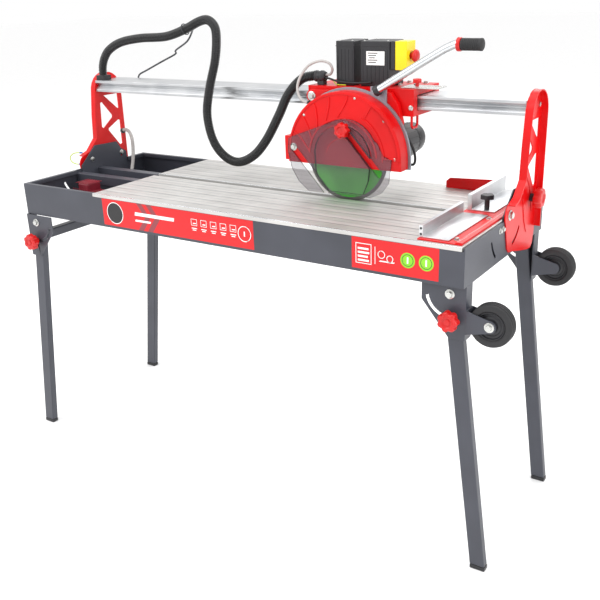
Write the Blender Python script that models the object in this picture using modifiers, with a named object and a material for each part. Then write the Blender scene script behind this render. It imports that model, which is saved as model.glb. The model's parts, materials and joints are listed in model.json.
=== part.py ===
"""Wet tile saw: a water tray on folding legs, with a tilting bridge and a sliding, plunging head.

Metres, +Z up. X runs along the tray, the operator stands at -Y. Every size below is measured from the
middle of the tray and from the floor; one parent empty then shifts the whole saw so that the middle of its
footprint is the origin.
"""
import math

import bmesh
import bpy

# Fits
GAP = 0.0003
SLIDING_GAP = 0.0010
SHEET = 0.003
ROUND_STEPS = 24

# Tray and tables
TRAY_LENGTH = 1.500
TRAY_WIDTH = 0.550
TRAY_TOP = 0.8777
TRAY_DEPTH = 0.098
TRAY_LIP = 0.010
END_SLOT_RADIUS = 0.118
END_SLOT_START = math.radians(202)
END_SLOT_END = math.radians(227)
END_SLOT_HALF = 0.004
TABLE_THICKNESS = 0.0095
TABLE_LEFT = -0.440
SLOT_FRONT = -0.004
SLOT_REAR = 0.018
TABLE_GROOVE = 0.0025
TABLE_GROOVES = (0.12, 0.30, 0.48, 0.66, 0.84)
BEAM_SIZE = 0.030
BEAM_FRONT_Y = -0.045
BEAM_REAR_Y = 0.055
PUMP_LENGTH = 0.078
PUMP_WIDTH = 0.080
PUMP_HEIGHT = 0.076
PUMP_X = -0.634
PUMP_Y = -0.108

# Legs
LEG_SPLAY = math.radians(7.5)
LEG_FOLD = math.radians(90.0)
LEG_PIVOT_ROOM = 0.021
LEG_PIVOT_BELOW_TRAY = 0.0247
LEG_WIDTH = 0.040
LEG_PIVOT_X = TRAY_LENGTH / 2 - LEG_PIVOT_ROOM - LEG_WIDTH / 2
LEG_DEPTH = 0.023
LEG_OUTER_LEFT = 0.277
LEG_OUTER_RIGHT = 0.253
LEG_TOP = 0.010
LEG_KNOB_RADIUS = 0.060
LEG_SLOT_HALF = 0.0045
LEG_BRACKET_LENGTH = 0.114
LEG_BRACKET_DEPTH = 0.138
LEG_BRACKET_FLANGE = 0.034
FOOT_HEIGHT = 0.012
CROSSBAR_SIZE = 0.028
CROSSBAR_DROP = 0.045
CROSSBAR_OFFSET = 0.006

# Wheels
WHEEL_RADIUS = 0.0535
WHEEL_WIDTH = 0.034
WHEEL_BELOW_TRAY = 0.090
WHEEL_OVERHANG = 0.059
WHEEL_INSET = 0.017
FORK_HEIGHT = 0.060
FORK_NOSE = 0.016
WHEEL_HUB_RADIUS = 0.020

# Bridge
TILT_Z = TRAY_TOP + 0.010
TILT_SLOT_RADIUS = 0.087
TILT_SLOT_HALF = 0.005
TILT_ANGLE = math.radians(45.0)
BRACKET_FRONT = -0.030
BRACKET_REAR = 0.185
COLUMN_FLANGE = 0.020
COLUMN_FRONT = 0.074
COLUMN_REAR = 0.197
COLUMN_TOP = 1.181
COLUMN_FOOT_RADIUS = 0.032
FLANGE_INSET = 0.0005
RAIL_FRONT = 0.080
RAIL_DEPTH = 0.110
RAIL_BOTTOM = 1.121
RAIL_HEIGHT = 0.037
RAIL_GROOVE = 0.012
TILT_KNOB_Y = 0.150
TILT_KNOB_Z = 0.900

# Carriage
CARRIAGE_LEFT = 0.128
CARRIAGE_RIGHT = 0.456
COLLAR_LENGTH = 0.100
LEFT_COLLAR_LENGTH = 0.055
CARRIAGE_SIDE = 0.0215
CARRIAGE_SIDE_GAP = 0.002
CARRIAGE_TOP = 0.0165
CARRIAGE_FLOOR = 0.013
STOP_PLATE_LEFT = 0.410
STOP_PLATE_RIGHT = 0.516
BOX_RIGHT = 0.371
BOX_TOP = 1.295
BOX_DEPTH = 0.085
SWITCH_Y = 0.110
SWITCH_WIDTH = 0.052
SWITCH_HEIGHT = 0.074
SWITCH_BASE = 0.014
SWITCH_LID = 0.034
BUTTON_TRAVEL = 0.004
START_TRAVEL = 0.002

# Hose and its wire, as chosen routes
HOSE_RADIUS = 0.014
HOSE_ROUTE = (
    (-0.733, 0.105, 1.174), (-0.733, 0.105, 1.182), (-0.730, 0.105, 1.204), (-0.716, 0.104, 1.231),
    (-0.686, 0.102, 1.258),
    (-0.627, 0.100, 1.282), (-0.540, 0.100, 1.295), (-0.430, 0.100, 1.301), (-0.348, 0.100, 1.323),
    (-0.290, 0.098, 1.345), (-0.250, 0.093, 1.350), (-0.216, 0.082, 1.331), (-0.200, 0.066, 1.293),
    (-0.194, 0.045, 1.235), (-0.212, 0.032, 1.155), (-0.226, 0.030, 1.078), (-0.210, 0.030, 1.003),
    (-0.170, 0.030, 0.957), (-0.117, 0.030, 0.942), (-0.058, 0.030, 0.966), (-0.008, 0.030, 1.016),
    (0.038, 0.034, 1.090), (0.068, 0.042, 1.150), (0.102, 0.061, 1.191), (0.134, 0.075, 1.200),
    (0.142, 0.075, 1.200),
)
WIRE_ROUTE = (
    (-0.660, 0.1945, 1.142), (-0.658, 0.200, 1.166), (-0.630, 0.212, 1.182), (-0.560, 0.212, 1.211),
    (-0.496, 0.212, 1.237), (-0.494, 0.214, 1.249), (-0.440, 0.212, 1.278), (-0.396, 0.190, 1.312),
    (-0.362, 0.150, 1.324), (-0.348, 0.121, 1.327),
)

# Head
HINGE_X = 0.150
HINGE_Z = 1.150
BLADE_X = 0.277
BLADE_Z = 0.995
BLADE_RADIUS = 0.125
BLADE_THICKNESS = 0.0024
COVER_RADIUS = 0.178
COVER_FRONT = -0.0125
COVER_BACK = 0.030
COVER_WALL = 0.003
COVER_FLOOR = 0.971
ARBOR_RADIUS = 0.012
ARM_NOSE = 0.018
BACK_PLATE = 0.0075
MOTOR_RADIUS = 0.050
MOTOR_X = 0.372
MOTOR_Z = 1.020
MOTOR_END = 0.235
GUARD_SHEET = 0.003
GUARD_RISE = math.radians(132.6)
GUARD_SLOT_LENGTH = 0.156
GUARD_SLOT_HALF = 0.0095
GUARD_CLEARANCE = 0.015
GUARD_BULGE = 0.008
GUARD_BOLT_X = 0.118
GUARD_BOLT_Z = 1.014
GUARD_KNOB_X = 0.288
GUARD_KNOB_Z = 1.074
HANDLE_ROOT_ANGLE = math.radians(64.753)
HANDLE_ROOT_REACH = COVER_RADIUS + 0.01659
HANDLE_ROOT = (BLADE_X + HANDLE_ROOT_REACH * math.cos(HANDLE_ROOT_ANGLE), 0.0190,
               BLADE_Z + HANDLE_ROOT_REACH * math.sin(HANDLE_ROOT_ANGLE))
HANDLE_ROUTE = (HANDLE_ROOT, (0.4615, 0.0190, 1.2295), (0.5480, 0.0190, 1.2780), (0.5675, 0.0190, 1.2875),
                (0.5850, 0.0190, 1.2945), (0.6000, 0.0190, 1.2945))
HANDLE_RADIUS = 0.011
GRIP_LENGTH = 0.056
GRIP_RADIUS = 0.0155

# Fences
FENCE_LEFT = 0.624
FENCE_RIGHT = 0.736
FENCE_FRONT = -0.262
FENCE_REAR = 0.270
FENCE_SPLIT = 0.020
FENCE_KNOB_X = 0.675
FENCE_KNOB_Y = 0.045
ARM_THICKNESS = 0.014
MITRE_ARM_LENGTH = 0.135

# Knobs
KNOB_OVERLAP = 0.002
KNOB_HEIGHT = 0.020
KNOB_STEM = 0.014
LEG_KNOB_SIZE = 0.026
TILT_KNOB_SIZE = 0.027
GUARD_KNOB_SIZE = 0.021

# Paints: colour, roughness, metallic
PAINTS = {
    "tray_paint": ((0.075, 0.080, 0.105), 0.45, 0.0),
    "red_paint": ((0.720, 0.012, 0.010), 0.35, 0.0),
    "aluminium": ((0.700, 0.700, 0.700), 0.35, 1.0),
    "zinc": ((0.620, 0.620, 0.600), 0.30, 1.0),
    "black_plastic": ((0.020, 0.020, 0.022), 0.45, 0.0),
    "black_rubber": ((0.018, 0.018, 0.018), 0.70, 0.0),
    "red_plastic": ((0.780, 0.015, 0.012), 0.30, 0.0),
    "dark_red_plastic": ((0.260, 0.015, 0.030), 0.45, 0.0),
    "yellow_plastic": ((0.900, 0.720, 0.020), 0.35, 0.0),
    "green_plastic": ((0.030, 0.500, 0.060), 0.35, 0.0),
    "green_blade": ((0.060, 0.550, 0.060), 0.40, 0.2),
    "smoke_plastic": ((0.300, 0.280, 0.300), 0.10, 0.0),
    "cast_metal": ((0.480, 0.500, 0.520), 0.45, 0.8),
}
TURN = {"X": (0, math.pi / 2, 0), "Y": (-math.pi / 2, 0, 0), "Z": (0, 0, 0)}
FACE = {"X": (math.pi / 2, 0, math.pi / 2), "Y": (math.pi / 2, 0, 0), "Z": (0, 0, 0)}
AXIS = {"X": 0, "Y": 1, "Z": 2}


def clear_scene():
    for thing in list(bpy.data.objects):
        bpy.data.objects.remove(thing, do_unlink=True)


def new_collection(name):
    collection = bpy.data.collections.new(name)
    bpy.context.scene.collection.children.link(collection)
    return collection


def paint_material(name):
    material = bpy.data.materials.get(name)
    if material is None:
        colour, roughness, metallic = PAINTS[name]
        material = bpy.data.materials.new(name)
        material.use_nodes = True
        shader = material.node_tree.nodes["Principled BSDF"]
        shader.inputs["Base Color"].default_value = (*colour, 1.0)
        shader.inputs["Roughness"].default_value = roughness
        shader.inputs["Metallic"].default_value = metallic
    return material


def axis_empty(name, place, parent=None):
    """An empty at a joint's axis; place is measured from the tray's middle, as all places are."""
    empty = bpy.data.objects.new(name, None)
    saw.objects.link(empty)
    attach(empty, place, parent)
    return empty


def attach(thing, place, parent):
    thing["place"] = place
    thing.location = place
    if parent is not None:
        thing.parent = parent
        thing.location = [own - theirs for own, theirs in zip(place, parent["place"])]


def add(name, mesh, place, paint, parent, rotation=(0, 0, 0)):
    mesh.materials.clear()
    mesh.materials.append(paint_material(paint))
    thing = bpy.data.objects.new(name, mesh)
    saw.objects.link(thing)
    attach(thing, place, parent)
    thing.rotation_euler = rotation
    return thing


def tidy(mesh):
    work = bmesh.new()
    work.from_mesh(mesh)
    bmesh.ops.remove_doubles(work, verts=work.verts, dist=0.00001)
    bmesh.ops.recalc_face_normals(work, faces=work.faces)
    work.to_mesh(mesh)
    work.free()
    return mesh


def block(name, low, high, paint, parent):
    """A box from its lowest to its highest corner."""
    mesh = bpy.data.meshes.new(name)
    work = bmesh.new()
    bmesh.ops.create_cube(work, size=1.0)
    bmesh.ops.scale(work, vec=[b - a for a, b in zip(low, high)], verts=work.verts)
    work.to_mesh(mesh)
    work.free()
    return add(name, mesh, [(a + b) / 2 for a, b in zip(low, high)], paint, parent)


def rod(name, axis, centre, start, end, radius, paint, parent, steps=ROUND_STEPS, radius_end=None):
    """A cylinder or cone along an axis, from start to end on it; centre gives the other two places."""
    mesh = bpy.data.meshes.new(name)
    work = bmesh.new()
    last = radius if radius_end is None else radius_end
    bmesh.ops.create_cone(work, cap_ends=True, segments=steps, radius1=radius, radius2=last,
                          depth=end - start)
    work.to_mesh(mesh)
    work.free()
    mesh.shade_smooth()
    mesh.set_sharp_from_angle(angle=math.radians(40))
    place = list(centre)
    place.insert(AXIS[axis], (start + end) / 2)
    return add(name, mesh, place, paint, parent, TURN[axis])


def plate(name, axis, outlines, start, end, paint, parent, origin=(0, 0)):
    """Flat outlines (the first is the edge, the rest are holes) made thick along an axis.

    Outline points are (y, z) for X, (x, z) for Y and (x, y) for Z.
    """
    curve = bpy.data.curves.new(name, "CURVE")
    curve.dimensions = "2D"
    curve.fill_mode = "BOTH"
    curve.extrude = (end - start) / 2
    for outline in outlines:
        spline = curve.splines.new("POLY")
        spline.points.add(len(outline) - 1)
        for point, (across, up) in zip(spline.points, outline):
            point.co = (across - origin[0], up - origin[1], 0, 1)
        spline.use_cyclic_u = True
    mesh = curve_mesh(name, curve)
    place = list(origin)
    place.insert(AXIS[axis], (start + end) / 2)
    return add(name, mesh, place, paint, parent, FACE[axis])


def curve_mesh(name, curve):
    holder = bpy.data.objects.new(name, curve)
    saw.objects.link(holder)
    graph = bpy.context.evaluated_depsgraph_get()
    mesh = bpy.data.meshes.new_from_object(holder.evaluated_get(graph))
    bpy.data.objects.remove(holder)
    return tidy(mesh)


def tube(name, points, radius, paint, parent, resolution=2):
    """A round tube through points, with closed ends."""
    curve = bpy.data.curves.new(name, "CURVE")
    curve.dimensions = "3D"
    curve.bevel_depth = radius
    curve.bevel_resolution = resolution
    curve.use_fill_caps = True
    spline = curve.splines.new("POLY")
    spline.points.add(len(points) - 1)
    start = points[0]
    for point, place in zip(spline.points, points):
        point.co = (*[a - b for a, b in zip(place, start)], 1)
    mesh = curve_mesh(name, curve)
    mesh.shade_smooth()
    mesh.set_sharp_from_angle(angle=math.radians(50))
    return add(name, mesh, list(start), paint, parent)


def turned(name, axis, centre, profile, paint, parent, steps=ROUND_STEPS):
    """A turned shape; the profile's (radius, along) points run down its outer side."""
    mesh = bpy.data.meshes.new(name)
    edges = [(i, i + 1) for i in range(len(profile) - 1)]
    mesh.from_pydata([(radius, 0, along) for radius, along in profile], edges, [])
    thing = add(name, mesh, centre, paint, parent, TURN[axis])
    screw = thing.modifiers.new("turn", "SCREW")
    screw.steps = steps
    screw.render_steps = steps
    screw.use_merge_vertices = True
    screw.merge_threshold = 0.00005
    screw.use_smooth_shade = False
    return thing


def use_tool(thing, tool, operation):
    """Cut or join one object with another, which becomes a hidden guide."""
    saw.objects.unlink(tool)
    cutters.objects.link(tool)
    tool.hide_render = True
    tool.display_type = "WIRE"
    boolean = thing.modifiers.new(tool.name, "BOOLEAN")
    boolean.operation = operation
    boolean.object = tool
    return thing


def cut(thing, tool):
    return use_tool(thing, tool, "DIFFERENCE")


def join(thing, tool):
    return use_tool(thing, tool, "UNION")


def arc(centre, radius, start, end, steps):
    """Points on an arc, angles in radians from the first axis."""
    angles = [start + (end - start) * i / steps for i in range(steps + 1)]
    return [(centre[0] + radius * math.cos(a), centre[1] + radius * math.sin(a)) for a in angles]


def straight_slot(first, last, half):
    """Outline of a slot with round ends between two points."""
    way = math.atan2(last[1] - first[1], last[0] - first[0])
    side = math.pi / 2
    return arc(last, half, way - side, way + side, 5) + arc(first, half, way + side, way + 3 * side, 5)


def curved_slot(centre, radius, start, end, half):
    """Outline of a slot that follows an arc, with round ends."""
    first = arc(centre, radius, start, start, 1)[0]
    last = arc(centre, radius, end, end, 1)[0]
    outer = arc(centre, radius + half, start, end, 8)
    inner = arc(centre, radius - half, end, start, 8)
    end_cap = arc(last, half, end, end + math.pi, 4)[1:-1]
    start_cap = arc(first, half, start + math.pi, start + 2 * math.pi, 4)[1:-1]
    return outer + end_cap + inner + start_cap


def lobed_knob(name, axis, centre, base, height, stem, radius, paint, parent, lobes=7):
    """A lobed hand knob on a stem; base is where its head starts, height is signed along the axis."""
    count = lobes * 4
    waves = [radius * (0.90 + 0.10 * math.cos(lobes * i * math.tau / count)) for i in range(count)]
    outline = [(centre[0] + r * math.cos(i * math.tau / count), centre[1] + r * math.sin(i * math.tau / count))
               for i, r in enumerate(waves)]
    ends = sorted((base, base + height))
    head = plate(name, axis, [outline], ends[0], ends[1], paint, parent, origin=centre)
    overlap = math.copysign(KNOB_OVERLAP, height)
    ends = sorted((base - math.copysign(stem, height), base + overlap))
    return join(head, rod(name + "_stem", axis, centre, ends[0], ends[1], radius * 0.38, paint, parent, 12))


# Places worked out from the sizes above
END = TRAY_LENGTH / 2
FRONT = TRAY_WIDTH / 2
TRAY_BOTTOM = TRAY_TOP - TRAY_DEPTH
TABLE_BOTTOM = TRAY_TOP - TABLE_THICKNESS
LEG_PIVOT_Z = TRAY_BOTTOM - LEG_PIVOT_BELOW_TRAY
WHEEL_X = END + WHEEL_OVERHANG
WHEEL_Z = TRAY_BOTTOM - WHEEL_BELOW_TRAY
SIDES = {"left": -1, "right": 1}
ROWS = {"near": -1, "far": 1}


def spread(side, x):
    """A place along X, mirrored for the left end."""
    return SIDES[side] * x


def ordered(a, b):
    return (min(a, b), max(a, b))


def make_tray(frame):
    inner = (END - SHEET, FRONT - SHEET)
    tray = block("tray", (-END, -FRONT, TRAY_BOTTOM), (END, FRONT, TRAY_TOP), "tray_paint", frame)
    cut(tray, block("tray_inside", (-inner[0], -inner[1], TRAY_BOTTOM + SHEET),
                    (inner[0], inner[1], TABLE_BOTTOM - SHEET), "tray_paint", frame))
    mouth_right = inner[0]
    cut(tray, block("tray_mouth", (-inner[0] + TRAY_LIP, -inner[1] + TRAY_LIP, TABLE_BOTTOM - 2 * SHEET),
                    (TABLE_LEFT, inner[1] - TRAY_LIP, TRAY_TOP + SHEET), "tray_paint", frame))
    cut(tray, block("tray_table_opening", (TABLE_LEFT - GAP, -FRONT - SHEET, TABLE_BOTTOM - GAP),
                    (mouth_right, FRONT + SHEET, TRAY_TOP + SHEET), "tray_paint", frame))
    cut(tray, block("tray_under_tables", (TABLE_LEFT - SHEET, -inner[1] + TRAY_LIP, TABLE_BOTTOM - 2 * SHEET),
                    (mouth_right, inner[1] - TRAY_LIP, TRAY_TOP), "tray_paint", frame))
    room_front = min(BRACKET_FRONT, BEAM_FRONT_Y - BEAM_SIZE / 2) - SLIDING_GAP
    room_rear = BRACKET_REAR + SLIDING_GAP
    for side in SIDES:
        low, high = ordered(spread(side, inner[0] - TRAY_LIP - SHEET), spread(side, inner[0]))
        cut(tray, block(f"tray_bracket_room_{side}", (low, room_front, TRAY_BOTTOM + SHEET),
                        (high, room_rear, TRAY_TOP + SHEET), "tray_paint", frame))
    slot = curved_slot((0.0, TILT_Z), END_SLOT_RADIUS, END_SLOT_START, END_SLOT_END, END_SLOT_HALF)
    for side in SIDES:
        low, high = ordered(spread(side, END - 2 * SHEET), spread(side, END + SHEET))
        cut(tray, plate(f"tray_end_slot_{side}", "X", [slot], low, high, "tray_paint", frame))
    return tray


def make_beams(frame):
    reach = END - 2 * SHEET - 2 * GAP - SLIDING_GAP
    for name, y in (("beam_front", BEAM_FRONT_Y), ("beam_rear", BEAM_REAR_Y)):
        top = TABLE_BOTTOM - GAP
        block(name, (-reach, y - BEAM_SIZE / 2, top - BEAM_SIZE), (reach, y + BEAM_SIZE / 2, top),
              "tray_paint", frame)


def make_tables(frame):
    """Two aluminium tables with shallow ribs, one each side of the blade's slot."""
    right = END - 2 * SHEET - 3 * GAP - SLIDING_GAP
    rows = {"table_front": (-FRONT, SLOT_FRONT), "table_rear": (SLOT_REAR, FRONT)}
    for name, (low, high) in rows.items():
        outline = [(low, TABLE_BOTTOM), (high, TABLE_BOTTOM), (high, TRAY_TOP)]
        width = high - low
        for share in TABLE_GROOVES:
            middle = high - share * width
            outline += [(middle + TABLE_GROOVE / 2, TRAY_TOP), (middle, TRAY_TOP - TABLE_GROOVE),
                        (middle - TABLE_GROOVE / 2, TRAY_TOP)]
        outline.append((low, TRAY_TOP))
        plate(name, "X", [outline], TABLE_LEFT, right, "aluminium", frame)


def make_tilt_brackets(frame):
    """Fixed plates inside the tray's ends, that carry the bridge's pivots."""
    outline = [(BRACKET_FRONT, TRAY_BOTTOM + 0.025), (BRACKET_FRONT, TILT_Z), (0.038, 0.945), (0.143, 0.941),
               (0.160, 0.915), (BRACKET_REAR, 0.900), (BRACKET_REAR, TRAY_BOTTOM + 0.025)]
    hole = arc((0.160, 0.890), 0.004, 0, math.tau * 7 / 8, 7)
    for side in SIDES:
        outer = END - SHEET - GAP
        low, high = ordered(spread(side, outer - SHEET), spread(side, outer))
        plate(f"tilt_bracket_{side}", "X", [outline, hole], low, high, "tray_paint", frame)


def make_pump(frame):
    low = (PUMP_X - PUMP_LENGTH / 2, PUMP_Y - PUMP_WIDTH / 2)
    high = (PUMP_X + PUMP_LENGTH / 2, PUMP_Y + PUMP_WIDTH / 2)
    base = TRAY_BOTTOM + SHEET + GAP
    shoulder = base + PUMP_HEIGHT * 0.6
    pump = block("pump", (*low, base), (*high, shoulder), "dark_red_plastic", frame)
    join(pump, block("pump_cap", (low[0] + 0.016, low[1] + 0.012, base + 0.01),
                     (high[0] - 0.014, high[1] - 0.012, base + PUMP_HEIGHT), "dark_red_plastic", frame))


def leg_outer(side):
    return LEG_OUTER_LEFT if side == "left" else LEG_OUTER_RIGHT


def leg_point(side, along, inward):
    """A place on a leg in (x, z): along it from the pivot, and inward from its middle line."""
    x = LEG_PIVOT_X + along * math.sin(LEG_SPLAY) - inward * math.cos(LEG_SPLAY)
    z = LEG_PIVOT_Z - along * math.cos(LEG_SPLAY) - inward * math.sin(LEG_SPLAY)
    return (spread(side, x), z)


def leg_end(inward, height):
    """Distance along the leg at which a line beside its middle reaches a height."""
    return (LEG_PIVOT_Z - inward * math.sin(LEG_SPLAY) - height) / math.cos(LEG_SPLAY)


def make_leg_bracket(side, row, frame):
    """A plate that hangs from the tray, with the curved slot of the leg's knob, and a flange on the end."""
    outer = leg_outer(side) + SLIDING_GAP
    bottom = TRAY_BOTTOM - LEG_BRACKET_DEPTH
    top = TRAY_BOTTOM - GAP
    edge = [(END, top), (END, bottom), (END - 0.041, bottom), (END - LEG_BRACKET_LENGTH, TRAY_BOTTOM - 0.048),
            (END - LEG_BRACKET_LENGTH, top)]
    rest = LEG_SPLAY - math.pi / 2
    slot = curved_slot((LEG_PIVOT_X, LEG_PIVOT_Z), LEG_KNOB_RADIUS, rest, rest - LEG_FOLD, LEG_SLOT_HALF)
    outlines = [[(spread(side, x), z) for x, z in outline] for outline in (edge, slot)]
    low, high = ordered(ROWS[row] * outer, ROWS[row] * (outer + SHEET))
    bracket = plate(f"leg_bracket_{side}_{row}", "Y", outlines, low, high, "tray_paint", frame)
    x_low, x_high = ordered(spread(side, END - SHEET), spread(side, END))
    y_low, y_high = ordered(ROWS[row] * (outer + SHEET / 2), ROWS[row] * (outer - LEG_BRACKET_FLANGE))
    return join(bracket, block(f"leg_bracket_flange_{side}_{row}", (x_low, y_low, bottom), (x_high, y_high, top),
                               "tray_paint", frame))


def make_leg(side, row, hinge):
    half = LEG_WIDTH / 2
    cut_height = FOOT_HEIGHT + GAP
    outline = [leg_point(side, -LEG_TOP, half), leg_point(side, leg_end(half, cut_height), half),
               leg_point(side, leg_end(-half, cut_height), -half), leg_point(side, -LEG_TOP, -half)]
    outer = leg_outer(side)
    low, high = ordered(ROWS[row] * outer, ROWS[row] * (outer - LEG_DEPTH))
    pivot = (spread(side, LEG_PIVOT_X), LEG_PIVOT_Z)
    plate(f"leg_{side}_{row}", "Y", [outline], low, high, "tray_paint", hinge, origin=pivot)
    middle = leg_point(side, leg_end(0, FOOT_HEIGHT / 2), 0)[0]
    reach = half / math.cos(LEG_SPLAY)
    block(f"foot_{side}_{row}", (middle - reach, low, 0), (middle + reach, high, FOOT_HEIGHT), "black_rubber",
          hinge)
    knob_base = outer + SLIDING_GAP + SHEET + SLIDING_GAP
    direction = ROWS[row]
    lobed_knob(f"leg_knob_{side}_{row}", "Y", leg_point(side, LEG_KNOB_RADIUS, 0),
               direction * (knob_base + KNOB_STEM), direction * KNOB_HEIGHT, KNOB_STEM, LEG_KNOB_SIZE,
               "red_plastic", hinge, 6)


def make_crossbar(hinge):
    middle = leg_point("left", CROSSBAR_DROP, CROSSBAR_OFFSET)
    half = CROSSBAR_SIZE / 2
    reach = LEG_OUTER_LEFT - LEG_DEPTH - GAP
    outline = [(middle[0] - half, middle[1] - half), (middle[0] + half, middle[1] - half),
               (middle[0] + half, middle[1] + half), (middle[0] - half, middle[1] + half)]
    plate("leg_crossbar", "Y", [outline], -reach, reach, "tray_paint", hinge)


def make_wheel(row, bracket, frame):
    """A fork welded to the right leg bracket, and the transport wheel that turns in it."""
    face = leg_outer("right") + SLIDING_GAP + SHEET
    wheel_y = ROWS[row] * (face - WHEEL_INSET - SHEET)
    half = WHEEL_WIDTH / 2
    nose = arc((WHEEL_X, WHEEL_Z), FORK_NOSE, -math.pi / 2, math.pi / 2, 8)
    weld = END - SHEET / 2
    outline = [(weld + SHEET, WHEEL_Z + FORK_HEIGHT / 2), (weld + SHEET, WHEEL_Z - FORK_HEIGHT / 2)] + nose
    join(bracket, block(f"wheel_fork_{row}", (weld, wheel_y - half - SHEET, WHEEL_Z - FORK_HEIGHT / 2 - GAP),
                        (END + SHEET, wheel_y + half + SHEET, WHEEL_Z + FORK_HEIGHT / 2 + GAP), "tray_paint",
                        frame))
    for name, way in (("inner", -1), ("outer", 1)):
        low, high = ordered(wheel_y + way * (half + SLIDING_GAP), wheel_y + way * (half + SHEET + SLIDING_GAP))
        join(bracket, plate(f"wheel_fork_{name}_{row}", "Y", [outline], low, high, "tray_paint", frame))
    axle = axis_empty(f"wheel_axle_{row}", (WHEEL_X, wheel_y, WHEEL_Z), frame)
    rim = WHEEL_RADIUS * 0.66
    dish = half * 0.55
    profile = [(0, half), (WHEEL_HUB_RADIUS * 0.7, half), (WHEEL_HUB_RADIUS, dish), (rim, dish), (rim, half * 0.9),
               (WHEEL_RADIUS * 0.9, half), (WHEEL_RADIUS, half * 0.6), (WHEEL_RADIUS, -half * 0.6),
               (WHEEL_RADIUS * 0.9, -half), (rim, -half * 0.9), (rim, -dish), (WHEEL_HUB_RADIUS, -dish),
               (WHEEL_HUB_RADIUS * 0.7, -half), (0, -half)]
    turned(f"wheel_{row}", "Y", (WHEEL_X, wheel_y, WHEEL_Z), profile, "black_rubber", axle, 28)


def make_column(side, bridge):
    """A red sheet column with turned-out edges, truss openings, and a flared foot on the tilt pivot."""
    arch = (COLUMN_REAR - COLUMN_FRONT) / 2
    pivot = (0.0, TILT_Z)
    foot = arc(pivot, COLUMN_FOOT_RADIUS, math.radians(100), math.radians(215), 6)
    edge = [(COLUMN_FRONT, COLUMN_TOP - arch), (0.064, 1.045), (0.058, 0.965), (0.020, 0.928)] + foot
    edge += [(-0.008, 0.802), (0.006, 0.788), (0.024, 0.786), (0.076, 0.773), (0.150, 0.756), (0.174, 0.754),
             (0.188, 0.764), (COLUMN_REAR, 0.800)]
    edge += arc((COLUMN_FRONT + arch, COLUMN_TOP - arch), arch, 0, math.pi, 12)[:-1]
    start = math.radians(-29)
    holes = [curved_slot(pivot, TILT_SLOT_RADIUS, start, start - TILT_ANGLE, TILT_SLOT_HALF),
             [(0.112, 1.104), (0.180, 1.104), (0.180, 1.056), (0.172, 1.052)],
             [(0.092, 1.080), (0.088, 1.000), (0.096, 0.994), (0.142, 1.026), (0.142, 1.034), (0.100, 1.084)],
             [(0.180, 1.010), (0.180, 0.930), (0.166, 0.926), (0.118, 0.984), (0.118, 0.990), (0.168, 1.014)],
             arc((COLUMN_FRONT + arch, COLUMN_TOP - 0.014), 0.006, 0, math.tau * 7 / 8, 7)]
    near = END + GAP
    low, high = ordered(spread(side, near), spread(side, near + SHEET))
    column = plate(f"column_{side}", "X", [edge] + holes, low, high, "red_paint", bridge, origin=pivot)
    flange = []
    for inset in (FLANGE_INSET, FLANGE_INSET + SHEET):
        rise = [(-0.014, 0.917), (0.020, 0.928), (0.058, 0.965), (0.064, 1.045),
                (COLUMN_FRONT, COLUMN_TOP - arch)]
        path = [(y + inset, z - inset) for y, z in rise[:2]] + [(y + inset, z) for y, z in rise[2:]]
        path += arc((COLUMN_FRONT + arch, COLUMN_TOP - arch), arch - inset, math.pi, 0, 12)[1:]
        path.append((COLUMN_REAR - inset, 0.812))
        flange.append(path)
    wall_low, wall_high = ordered(spread(side, near + SHEET / 2), spread(side, near + COLUMN_FLANGE))
    flange = plate(f"column_flange_{side}", "X", [flange[0] + flange[1][::-1]], wall_low, wall_high, "red_paint",
                   bridge, origin=pivot)
    return join(column, flange)


def make_rail(bridge):
    rear = RAIL_FRONT + RAIL_DEPTH
    top = RAIL_BOTTOM + RAIL_HEIGHT
    middle = RAIL_BOTTOM + RAIL_HEIGHT / 2
    open_half = RAIL_HEIGHT * 0.30
    outline = [(RAIL_FRONT, RAIL_BOTTOM), (rear, RAIL_BOTTOM), (rear, middle - open_half),
               (rear - RAIL_GROOVE, middle), (rear, middle + open_half), (rear, top), (RAIL_FRONT, top),
               (RAIL_FRONT, middle + open_half), (RAIL_FRONT + RAIL_GROOVE, middle),
               (RAIL_FRONT, middle - open_half)]
    plate("rail", "X", [outline], -END, END, "aluminium", bridge)


def make_bridge(bridge):
    for side in SIDES:
        make_column(side, bridge)
        base = END + GAP + SHEET + GAP
        lobed_knob(f"tilt_knob_{side}", "X", (TILT_KNOB_Y, TILT_KNOB_Z), spread(side, base + KNOB_STEM),
                   spread(side, KNOB_HEIGHT), KNOB_STEM, TILT_KNOB_SIZE, "red_plastic", bridge, 6)
    make_rail(bridge)
    top = RAIL_BOTTOM + RAIL_HEIGHT + GAP
    exit_x, exit_y, exit_z = HOSE_ROUTE[0]
    block("hose_clamp", (exit_x - 0.016, exit_y - 0.018, top), (exit_x + 0.018, exit_y + 0.018, exit_z - GAP),
          "black_plastic", bridge)
    wire = smooth_route(WIRE_ROUTE, 4)
    tube("hose_support_wire", wire, 0.003, "zinc", bridge)
    route = [HOSE_ROUTE[0]] + smooth_route(HOSE_ROUTE[1:-1], 3) + [HOSE_ROUTE[-1]]
    tube("hose", route, HOSE_RADIUS, "black_rubber", bridge)


def smooth_route(points, cuts):
    """Points on a smooth curve (Catmull-Rom) through a route's own points."""
    padded = [points[0]] + list(points) + [points[-1]]
    smooth = []
    for before, first, last, after in zip(padded, padded[1:], padded[2:], padded[3:]):
        for step in range(cuts):
            t = step / cuts
            smooth.append(tuple(
                0.5 * (2 * b + (c - a) * t + (2 * a - 5 * b + 4 * c - d) * t ** 2
                       + (3 * b - a - 3 * c + d) * t ** 3)
                for a, b, c, d in zip(before, first, last, after)))
    smooth.append(tuple(points[-1]))
    return smooth


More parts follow.
